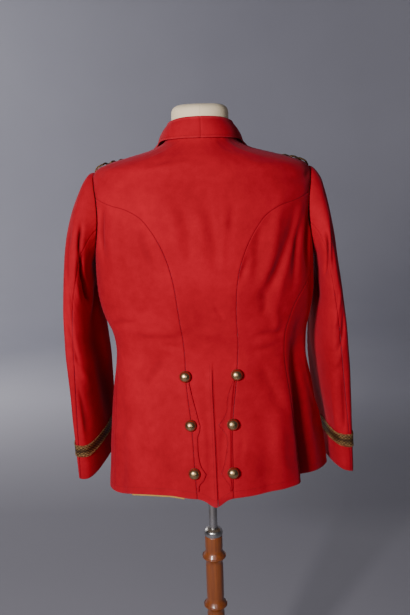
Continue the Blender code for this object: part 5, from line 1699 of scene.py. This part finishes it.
for name, side in SIDES:
    column = 1 if side > 0 else 2
    for level, row in enumerate(BACK_BUTTONS):
        lift = LAY_GAP + TRIM_CLOTH if level > 0 and side < 0 else 0.0003
        turn = back_turn(side * row[column], row[0])
        label = f"{name}_{level + 1}"
        button_on_body(f"ball_button_{label}", f"back_button_{label}", turn, row[0], lift)
    turn, height = shoulder_place(CORD_INNER_X - SMALL_BUTTON_RADIUS - CORD_RADIUS)
    label = f"shoulder_button_{name}"
    button_on_body(f"small_button_{name}", label, turn * side, height, radius=SMALL_BUTTON_RADIUS)
for level, height in enumerate(FRONT_BUTTONS):
    button_on_body(f"ball_button_front_{level + 1}", f"front_button_{level + 1}", math.pi, height, -0.0001)

# %% [markdown]
# ## Dress form and stand
#
# Only the form's neck, the rod, its ferrule and the top of the column show in the photograph. The
# form is a smooth whole, so its rings are taken from the body's sections, set in by half a
# centimetre at the shoulders and by more below. Rod, ferrule, column and base are turned. The
# column imitates bamboo: at each knuckle it swells twice round a dark groove.

# %% Dress form
NECK_RADIUS = 0.0555
NECK_TOP = 1.484
FORM_FOOT = 0.800
FORM_EDGE = 0.012
FORM_INSET = 0.0046
FORM_HOLLOW = 0.010
FORM_SLIM = 0.045
FORM_SEAT = 1.376
FORM_SIDES = 128
turns = np.linspace(0.0, 2 * math.pi, FORM_SIDES, endpoint=False)


def form_ring(level):
    """A level ring of the form, close inside the jacket at the shoulders and slimmer below."""
    inset = FORM_INSET + FORM_HOLLOW * ramp(1.350, 1.250, level)
    slim = 1.0 - FORM_SLIM * ramp(FORM_SEAT, FORM_SEAT - 0.020, level)
    ring = body_point(turns, level) - body_normal(turns, level) * inset
    return ring * np.array([slim, slim, 1.0])


def neck_ring(radius, level):
    """A round ring of the neck, with a few soft folds where the cover is drawn over its top."""
    folds = 0.0004 * np.sin(turns * 7 + 0.6) * ramp(NECK_TOP - 0.020, NECK_TOP, level)
    reach = radius + folds
    return np.stack([reach * np.sin(turns), reach * np.cos(turns), np.full(turns.shape, level)], axis=-1)


print("the form's neck is %.3f m round" % run_along(neck_ring(NECK_RADIUS, 1.44))[-1])

# %% Form cover
levels = np.concatenate([np.linspace(FORM_FOOT, 1.33, 70), np.linspace(1.337, 1.397, 14)])
rings = [form_ring(level) for level in levels]
foot = rings[0] * 0.92
foot[:, 2] = FORM_FOOT - FORM_EDGE
bevel = rings[0] * 0.975
bevel[:, 2] = FORM_FOOT - FORM_EDGE * 0.8
rings = [foot, bevel] + rings
neck = [(0.0645, 1.402), (0.0580, 1.420), (NECK_RADIUS, 1.440), (NECK_RADIUS, 1.462)]
cap = [(NECK_RADIUS - 0.0006, NECK_TOP - 0.014), (NECK_RADIUS - 0.0036, NECK_TOP - 0.0075)]
cap += [(NECK_RADIUS - 0.0100, NECK_TOP - 0.0032), (NECK_RADIUS - 0.0220, NECK_TOP - 0.0006)]
rings += [neck_ring(r, z) for r, z in smooth_line(neck + cap, 26)]
points = np.concatenate(rings + [[[0.0, 0.0, FORM_FOOT - FORM_EDGE]], [[0.0, 0.0, NECK_TOP]]])
last = len(rings) * FORM_SIDES
index = np.arange(last).reshape(len(rings), FORM_SIDES)
beside = np.roll(index, -1, axis=1)
quads = np.stack([index[:-1], index[1:], beside[1:], beside[:-1]], axis=-1)
ends = [np.stack([np.full(FORM_SIDES, last), index[0], beside[0]], axis=-1)]
ends.append(np.stack([np.full(FORM_SIDES, last + 1), beside[-1], index[-1]], axis=-1))
radii = np.hypot(points[:, 0], points[:, 1])
uv = np.stack([np.arctan2(points[:, 0], points[:, 1]) * 0.09, points[:, 2] - radii], axis=-1)
side_line = bell(np.abs(points[:, 0]), 0.0012) * (points[:, 2] < NECK_TOP - 0.003)
marks = {"seam": 0.5 * side_line}
made = new_piece("form_cover", points, quads, [form_cotton], np.concatenate(ends), uv=uv, marks=marks)
keep(made, "form_cotton", "dress_form")

# %% Rod
ROD_RADIUS = 0.009
COLUMN_RADIUS = 0.019
COLUMN_TOP = 0.575
KNUCKLE_TOP = 0.526
KNUCKLE_PITCH = 0.117
KNUCKLE_RISE = 0.0032
BASE_RADIUS = 0.200
BASE_HEIGHT = 0.046
FERRULE_HEIGHT = 0.016


def turned_piece(name, rows, sides, material, slot, node):
    """A turned piece from rows of (radius, level, hollow)."""
    points, quads, triangles = lathe([row[:2] for row in rows], sides)
    hollow = np.repeat([row[2] for row in rows], [sides if row[0] else 1 for row in rows])
    made = new_piece(name, points, quads, [material], triangles, marks={"hollow": hollow})
    made.data.set_sharp_from_angle(angle=math.radians(50))
    keep(made, slot, node)


rod_foot, rod_top = COLUMN_TOP + LAY_GAP, FORM_FOOT - FORM_EDGE - LAY_GAP
rod = [(0.0, rod_foot, 0.0), (ROD_RADIUS - 0.0005, rod_foot, 0.0), (ROD_RADIUS, rod_foot + 0.0005, 0.0)]
rod += [(ROD_RADIUS, z, 0.0) for z in np.linspace(rod_foot + 0.02, rod_top - 0.02, 8)]
rod += [(ROD_RADIUS, rod_top - 0.0005, 0.0), (ROD_RADIUS - 0.0005, rod_top, 0.0), (0.0, rod_top, 0.0)]
turned_piece("nickel_rod", rod, 48, nickel, "nickel", "stand_rod")

# %% Ferrule and column
low = COLUMN_TOP + 0.0003
high = low + FERRULE_HEIGHT
outside = [(COLUMN_RADIUS + 0.0005, low), (COLUMN_RADIUS + 0.0010, low + 0.004)]
outside += [(COLUMN_RADIUS - 0.0010, high - 0.004), (COLUMN_RADIUS - 0.0050, high - 0.0010)]
outside = smooth_line(outside + [(ROD_RADIUS + 0.0020, high)], 16)
rows = [(ROD_RADIUS + LAY_GAP, low, 1.0)] + [(r, z, 0.25 * (z < low + 0.002)) for r, z in outside]
rows += [(ROD_RADIUS + LAY_GAP, high, 0.8), (ROD_RADIUS + LAY_GAP, low, 1.0)]
turned_piece("nickel_ferrule", rows, 48, nickel, "nickel", "stand_ferrule")

rows = [(0.0, BASE_HEIGHT + 0.0003, 0.0), (COLUMN_RADIUS + 0.0035, BASE_HEIGHT + 0.0003, 1.0)]
rows += [(COLUMN_RADIUS + 0.004, BASE_HEIGHT + 0.001, 0.6), (COLUMN_RADIUS + 0.004, BASE_HEIGHT + 0.018, 0.0)]
rows += [(COLUMN_RADIUS + 0.003, BASE_HEIGHT + 0.0205, 0.0), (COLUMN_RADIUS, BASE_HEIGHT + 0.026, 0.6)]
for knuckle in (3, 2, 1, 0):
    level = KNUCKLE_TOP - KNUCKLE_PITCH * knuckle
    shape = [(-0.020, 0.0, 0.0), (-0.012, -0.0008, 0.1), (-0.005, KNUCKLE_RISE, 0.0), (-0.0015, 0.0022, 0.7),
             (0.0, 0.0006, 1.0), (0.0015, 0.0022, 0.7), (0.005, KNUCKLE_RISE, 0.0), (0.012, -0.0008, 0.1),
             (0.020, 0.0, 0.0)]
    rows += [(COLUMN_RADIUS + r, level + z, dark) for z, r, dark in smooth_line(shape, 30)]
rows += [(COLUMN_RADIUS, COLUMN_TOP - 0.004, 0.0), (COLUMN_RADIUS - 0.0006, COLUMN_TOP - 0.0012, 0.2)]
rows += [(COLUMN_RADIUS - 0.002, COLUMN_TOP, 0.6), (0.0, COLUMN_TOP, 0.9)]
turned_piece("turned_column", rows, 56, varnish, "varnished_wood", "stand_column")

# %% Base
base_edge = [(BASE_RADIUS - 0.006, 0.0), (BASE_RADIUS - 0.001, 0.003), (BASE_RADIUS, 0.008)]
base_edge += [(BASE_RADIUS, 0.018), (BASE_RADIUS - 0.003, 0.0235), (BASE_RADIUS - 0.010, 0.026)]
base_edge += [(BASE_RADIUS - 0.028, 0.028), (0.120, 0.0325), (0.060, 0.038), (0.046, 0.0425)]
base_edge.append((0.040, BASE_HEIGHT))
groove = [(r, z, bell(r - (BASE_RADIUS - 0.020), 0.004)) for r, z in smooth_line(base_edge, 60)]
rows = [(0.0, 0.0, 0.0)] + groove + [(0.0, BASE_HEIGHT, 0.0)]
turned_piece("turned_base", rows, 96, varnish, "varnished_wood", "stand_base")

# %% [markdown]
# ## Stitches and loops with Geometry Nodes
#
# A seam has hundreds of stitches, all alike and none the same. They are a job for Geometry Nodes:
# a line is cut at even steps, a small long ball is set on every point, turned along the line and
# up from the cloth, and each gets its own small turn and size from a fixed seed. The lines are not
# drawn by hand: each runs at a set distance from an edge of a panel that was made above, so it
# follows every crease. One small ring in place of the ball gives the loops of the gold lace.
# At the end the result is kept as a plain mesh, so nothing has to be worked out again later.


# %% Geometry Nodes group
def repeat_group(name, ring):
    """Sets long balls, or rings, along lines; its inputs are named sockets."""
    group = bpy.data.node_groups.new(name, "GeometryNodeTree")
    group.interface.new_socket(name="Geometry", in_out="OUTPUT", socket_type="NodeSocketGeometry")
    sockets = [("Geometry", "Geometry"), ("Seed", "Int"), ("Finish", "Material")]
    sockets += [(label, "Float") for label in ("Pitch", "Length", "Width", "Height", "Turn", "Uneven")]
    for label, kind in sockets:
        group.interface.new_socket(name=label, in_out="INPUT", socket_type="NodeSocket" + kind)

    def node(kind, inputs=(), **settings):
        return add_node(group, kind, inputs, **settings).outputs

    def value(operation, first, second):
        return node("ShaderNodeMath", {0: first, 1: second}, operation=operation)["Value"]

    def random(low, high, seed):
        inputs = {"Min": low, "Max": high, "Seed": seed}
        outputs = node("FunctionNodeRandomValue", inputs, data_type="FLOAT")
        return [socket for socket in outputs if socket.enabled][0]

    given = node("NodeGroupInput")
    curve = node("GeometryNodeMeshToCurve", {"Mesh": given["Geometry"]})["Curve"]
    even = {"Curve": curve, "Length": given["Pitch"]}
    points = node("GeometryNodeResampleCurve", even, mode="LENGTH")["Curve"]
    if ring:
        bow = node("GeometryNodeCurvePrimitiveCircle", {"Resolution": 9, "Radius": 0.5})["Curve"]
        wire = node("GeometryNodeCurvePrimitiveCircle", {"Resolution": 4, "Radius": 0.16})["Curve"]
        shape = node("GeometryNodeCurveToMesh", {"Curve": bow, "Profile Curve": wire})["Mesh"]
    else:
        shape = node("GeometryNodeMeshUVSphere", {"Segments": 6, "Rings": 4, "Radius": 0.5})["Mesh"]
    tangent = node("GeometryNodeInputTangent")["Tangent"]
    upward = node("GeometryNodeInputNamedAttribute", {"Name": "up"}, data_type="FLOAT_VECTOR")["Attribute"]
    along = node("FunctionNodeAlignRotationToVector", {"Vector": tangent}, axis="X")["Rotation"]
    lifted = {"Rotation": along, "Vector": upward}
    standing = node("FunctionNodeAlignRotationToVector", lifted, axis="Z", pivot_axis="X")["Rotation"]
    uneven = given["Uneven"]
    size = random(value("SUBTRACT", 1.0, uneven), value("ADD", 1.0, uneven), given["Seed"])
    later = value("ADD", given["Seed"], 7.0)
    swing = random(value("MULTIPLY", uneven, -0.6), value("MULTIPLY", uneven, 0.6), later)
    about = node("ShaderNodeCombineXYZ", {"Z": value("ADD", swing, given["Turn"])})["Vector"]
    extra = node("FunctionNodeEulerToRotation", {"Euler": about})["Rotation"]
    both = {"Rotation": standing, "Rotate By": extra}
    rotation = node("FunctionNodeRotateRotation", both, rotation_space="LOCAL")["Rotation"]
    lengths = {"X": given["Length"], "Y": given["Width"], "Z": given["Height"]}
    sizes = node("ShaderNodeCombineXYZ", lengths)["Vector"]
    scale = node("ShaderNodeVectorMath", {0: sizes, "Scale": size}, operation="SCALE")["Vector"]
    copies = {"Points": points, "Instance": shape, "Rotation": rotation, "Scale": scale}
    placed = node("GeometryNodeInstanceOnPoints", copies)["Instances"]
    real = node("GeometryNodeRealizeInstances", {"Geometry": placed})["Geometry"]
    done = node("GeometryNodeSetMaterial", {"Geometry": real, "Material": given["Finish"]})["Geometry"]
    node("NodeGroupOutput", {"Geometry": done})
    return group


stitch_group = repeat_group("stitches_along_lines", ring=False)
loop_group = repeat_group("loops_along_lines", ring=True)
print("nodes in a group:", len(stitch_group.nodes), len(loop_group.nodes))


# %% Repeats on lines
THREAD_LIFT = 0.00008


def repeated(name, group, lines, slot, **inputs):
    """Runs the group on lines of (points, directions up) and keeps the result as a plain mesh."""
    points = np.concatenate([line for line, _up in lines])
    starts = np.cumsum([0] + [len(line) for line, _up in lines])
    first = np.concatenate([np.arange(a, b - 1) for a, b in zip(starts, starts[1:])])
    edges = np.stack([first, first + 1], axis=-1)
    mesh = bpy.data.meshes.new(name + "_lines")
    mesh.from_pydata(points.tolist(), edges.tolist(), [])
    layer = mesh.attributes.new("up", "FLOAT_VECTOR", "POINT")
    layer.data.foreach_set("vector", np.concatenate([up for _line, up in lines]).ravel())
    drawn = bpy.data.objects.new(name + "_lines", mesh)
    bpy.context.scene.collection.objects.link(drawn)
    modifier = drawn.modifiers.new("repeat", "NODES")
    modifier.node_group = group
    for socket in group.interface.items_tree:
        if socket.in_out == "INPUT" and socket.name in inputs:
            modifier[socket.identifier] = inputs[socket.name]
    seen = drawn.evaluated_get(bpy.context.evaluated_depsgraph_get())
    plain = bpy.data.meshes.new_from_object(seen)
    drawn.modifiers.clear()
    bpy.data.objects.remove(drawn)
    plain.name = name
    plain.shade_smooth()
    made = bpy.data.objects.new(name, plain)
    bpy.context.scene.collection.objects.link(made)
    keep(made, slot)


def inset(piece, side, distance, start=0.0, end=1.0):
    """A line on a piece's face that keeps its distance from one edge, and the directions up from it."""
    grid, normals = outer_faces[piece]
    if side in ("low", "high"):
        grid, normals = grid.transpose(1, 0, 2), normals.transpose(1, 0, 2)
    if side in ("right", "high"):
        grid, normals = grid[:, ::-1], normals[:, ::-1]
    steps = np.linalg.norm(np.diff(grid, axis=1), axis=-1)
    away = np.pad(np.cumsum(steps, axis=1), ((0, 0), (1, 0)))
    rows = range(int(start * (len(grid) - 1)), int(end * (len(grid) - 1)) + 1)
    found = []
    for values in (grid, normals):
        found.append([[np.interp(distance, away[row], values[row, :, k]) for k in range(3)] for row in rows])
    line, up = np.array(found)
    return line + unit(up) * THREAD_LIFT, unit(up)


# %% Topstitching
HEM_STITCH = 0.014
HEMMED = ("back_cloth", "side_cloth_left", "side_cloth_right", "front_cloth_left", "front_cloth_right")
STITCH_LINES = [(piece, "low", HEM_STITCH, 0.0, 1.0) for piece in HEMMED]
STITCH_LINES += [
    # piece, edge, distance from it, and the shares of the edge where the stitches start and end
    ("front_cloth_left", "right", 0.005, 0.02, 0.56),
    ("left_tail", "left", 0.0062, 0.03, 1.0),
    ("left_tail", "left", 0.0016, 0.03, 0.97),
    ("collar_cloth", "right", 0.0045, 0.02, 0.98),
]
for name, _side in SIDES:
    STITCH_LINES += [
        (f"lapel_cloth_{name}", "right", 0.0045, 0.04, 0.98),
        (f"lapel_cloth_{name}", "high", 0.0045, 0.10, 0.94),
        (f"flap_cloth_{name}", "left", 0.0024, 0.02, 0.99),
        (f"sleeve_top_cloth_{name}", "high", 0.007, 0.0, 1.0),
        (f"sleeve_under_cloth_{name}", "high", 0.007, 0.0, 1.0),
    ]
repeated(
    "topstitching", stitch_group, [inset(*row) for row in STITCH_LINES], "red_cloth", Pitch=0.0027,
    Length=0.0020, Width=0.00055, Height=0.00040, Turn=0.0, Uneven=0.10, Seed=11, Finish=red_thread,
)

# %% Buttonholes and lace loops
hole_lines = []
for height in FRONT_BUTTONS:
    for shift in (-0.0007, 0.0007):
        turn = front_turn(np.linspace(-0.003, 0.0205, 30), height)
        up = body_normal(turn, np.full(30, height + shift))
        lift = body_lift(turn, np.full(30, height + shift)) + 0.0001
        hole_lines.append((body_point(turn, height + shift) + up * lift[:, None], up))
repeated(
    "buttonhole_stitches", stitch_group, hole_lines, "red_cloth", Pitch=0.0008,
    Length=0.0017, Width=0.0007, Height=0.0007, Turn=math.pi / 2, Uneven=0.12, Seed=5, Finish=red_thread,
)
for name, _side in SIDES:
    outer, normals = outer_faces[f"cuff_lace_band_{name}"]
    loop_lines = []
    for row, inner in ((0, 1), (-1, -2)):
        edge = outer[row] + unit(outer[row] - outer[inner]) * 0.0006
        loop_lines.append([np.concatenate([line, line[:1]]) for line in (edge, normals[row])])
    repeated(
        f"lace_loops_{name}", loop_group, loop_lines, "gold_lace", Pitch=0.0031,
        Length=0.0030, Width=0.0040, Height=0.0026, Turn=0.0, Uneven=0.14, Seed=3, Finish=gold_thread,
    )

# %% [markdown]
# ## The cut of every piece of cloth
#
# A sheet was flat once. Its cut is stated here in metres, so that a program that drapes cloth, or
# a reader who wants to sew it, knows how much there is. Where the cut is no rectangle, its area
# comes too. The numbers were read from the lengths and areas that the cells above print.

# %% Sheets
SHEETS = [
    # piece, width, length, flat area, how it is held, what it rests on
    ("back_cloth", 0.440, 0.740, 0.1355, "draped", ("dress_form",)),
    ("side_cloth_left", 0.190, 0.590, 0.1034, "draped", ("back_cloth",)),
    ("side_cloth_right", 0.165, 0.590, 0.0766, "draped", ("back_cloth",)),
    ("front_cloth_left", 0.367, 0.725, 0.2140, "draped", ("dress_form",)),
    ("front_cloth_right", 0.440, 0.725, 0.2433, "draped", ("dress_form",)),
    ("lapel_cloth_left", 0.093, 0.250, 0.0128, "folded", ("front_cloth_left",)),
    ("lapel_cloth_right", 0.093, 0.250, 0.0127, "folded", ("front_cloth_right",)),
    ("underlap_cloth", 0.046, 0.254, 0.0112, "hung", ("back_cloth",)),
    ("hem_lining_cloth", 0.120, 0.0445, 0.0052, "hung", ("back_cloth",)),
    ("flap_cloth_left", 0.022, 0.219, 0.0018, "laid", ("back_cloth",)),
    ("flap_cloth_right", 0.026, 0.220, 0.0025, "laid", ("back_cloth",)),
    ("collar_cloth", 0.082, 0.490, 0.0274, "folded", ("back_cloth",)),
]
SLEEVE_CUTS = {
    "left": ((0.240, 0.645, 0.1186), (0.182, 0.553, 0.0815), (0.355, 0.0240, 0.0076)),
    "right": ((0.240, 0.656, 0.1170), (0.180, 0.552, 0.0812), (0.343, 0.0250, 0.0081)),
}
CUFFS = []
for name, (top, under, lace) in SLEEVE_CUTS.items():
    armholes = (f"side_cloth_{name}", f"front_cloth_{name}")
    sleeve = (f"sleeve_top_cloth_{name}", f"sleeve_under_cloth_{name}")
    SHEETS += [(sleeve[0], *top, "hung", armholes), (sleeve[1], *under, "hung", armholes)]
    CUFFS.append((f"cuff_lace_band_{name}", *lace, "laid", sleeve))
for name, width, length, area, held, rests_on in SHEETS + CUFFS:
    under = [pieces.get(label, label) for label in rests_on]
print("sheets declared:", len(SHEETS + CUFFS))

# %% [markdown]
# ## Floor and light
#
# The floor is a pale paper disc, eleven metres wide, whose rim curves up all round, so no corner
# shows in any view. Its colour carries painted shade: darker on the floor near the stand and
# toward -X. The light is that of a photographer's studio: one soft lamp as the key on the left of
# the camera, a weaker one beside it, one for the backdrop, one for the front of the jacket, which
# the photograph does not show, and a dim even glow from all sides.


# %% Paper floor
paper = Finish("studio_paper", Roughness=0.95, Specular_IOR_Level=0.1)
spots = paper.noise(paper.place(), 0.9, 3.0)
paper_colour = paper.blend(paper.span(spots, 0.3, 0.7), (0.62, 0.61, 0.68), (0.67, 0.66, 0.73))
apart = paper.add("ShaderNodeSeparateXYZ", {"Vector": paper.place()}).outputs
# Painted shade: darker where Y is above -1.3 m, fading out by -2.7 m
near = paper.span(apart["Y"], -2.7, -1.3, 0.0, 0.62)
paper_colour = paper.blend(near, paper_colour, (0.135, 0.133, 0.155))
# Painted shade: darker toward -X
side_shade = paper.span(apart["X"], 1.2, -1.4, 0.0, 0.24)
paper_colour = paper.blend(side_shade, paper_colour, (0.115, 0.113, 0.132))
studio_paper = paper.done(Base_Color=paper_colour)
sweep = [(0.0, 0.0), (2.0, 0.0), (4.0, 0.0), (4.6, 0.03), (5.2, 0.30), (5.6, 0.9), (5.7, 1.6), (5.7, 4.2)]
points, quads, triangles = lathe([tuple(row) for row in smooth_line(sweep, 40)], 96)
floor = new_piece("studio_floor", points, quads[:, ::-1], [studio_paper], triangles=triangles[:, ::-1])
floor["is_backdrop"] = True
print("the paper's rim is", sweep[-1][1], "m high")


# %% Lamps
def lamp(name, place, target, size, power, colour):
    """A large soft square lamp that looks at a target."""
    light = bpy.data.lights.new(name, "AREA")
    light.shape = "SQUARE"
    light.size = size
    light.energy = power
    light.color = colour
    made = bpy.data.objects.new(name, light)
    made.location = place
    made.rotation_euler = (Vector(target) - Vector(place)).to_track_quat("-Z", "Y").to_euler()
    made.visible_camera = False
    bpy.context.scene.collection.objects.link(made)


lamp("key", (0.98, 1.95, 1.62), (0.0, 0.0, 1.18), 0.42, 59.0, (1.0, 0.96, 0.97))
lamp("fill", (-0.30, 2.7, 1.5), (0.0, 0.0, 1.15), 1.0, 6.0, (0.95, 0.97, 1.0))
lamp("front", (2.0, -2.9, 1.9), (0.0, 0.0, 1.20), 1.5, 24.0, (1.0, 0.97, 0.95))
lamp("backdrop", (3.3, -3.2, 2.4), (-0.2, -5.6, 0.7), 1.2, 38.0, (0.94, 0.96, 1.0))
world = bpy.data.worlds.new("studio_air")
world.use_nodes = True
world.node_tree.nodes["Background"].inputs["Color"].default_value = (0.86, 0.88, 1.0, 1.0)
world.node_tree.nodes["Background"].inputs["Strength"].default_value = 0.09
bpy.context.scene.world = world
print("lamps:", len(bpy.data.lights))

# %% [markdown]
# ## Print the sizes and finish
#
# The last cell prints the box of what is seen and the box of the CAD.

# %% Finish
for name, box in (("cad", cad_box), ("visual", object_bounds())):
    print(name, [[round(float(v), 4) for v in corner] for corner in box])
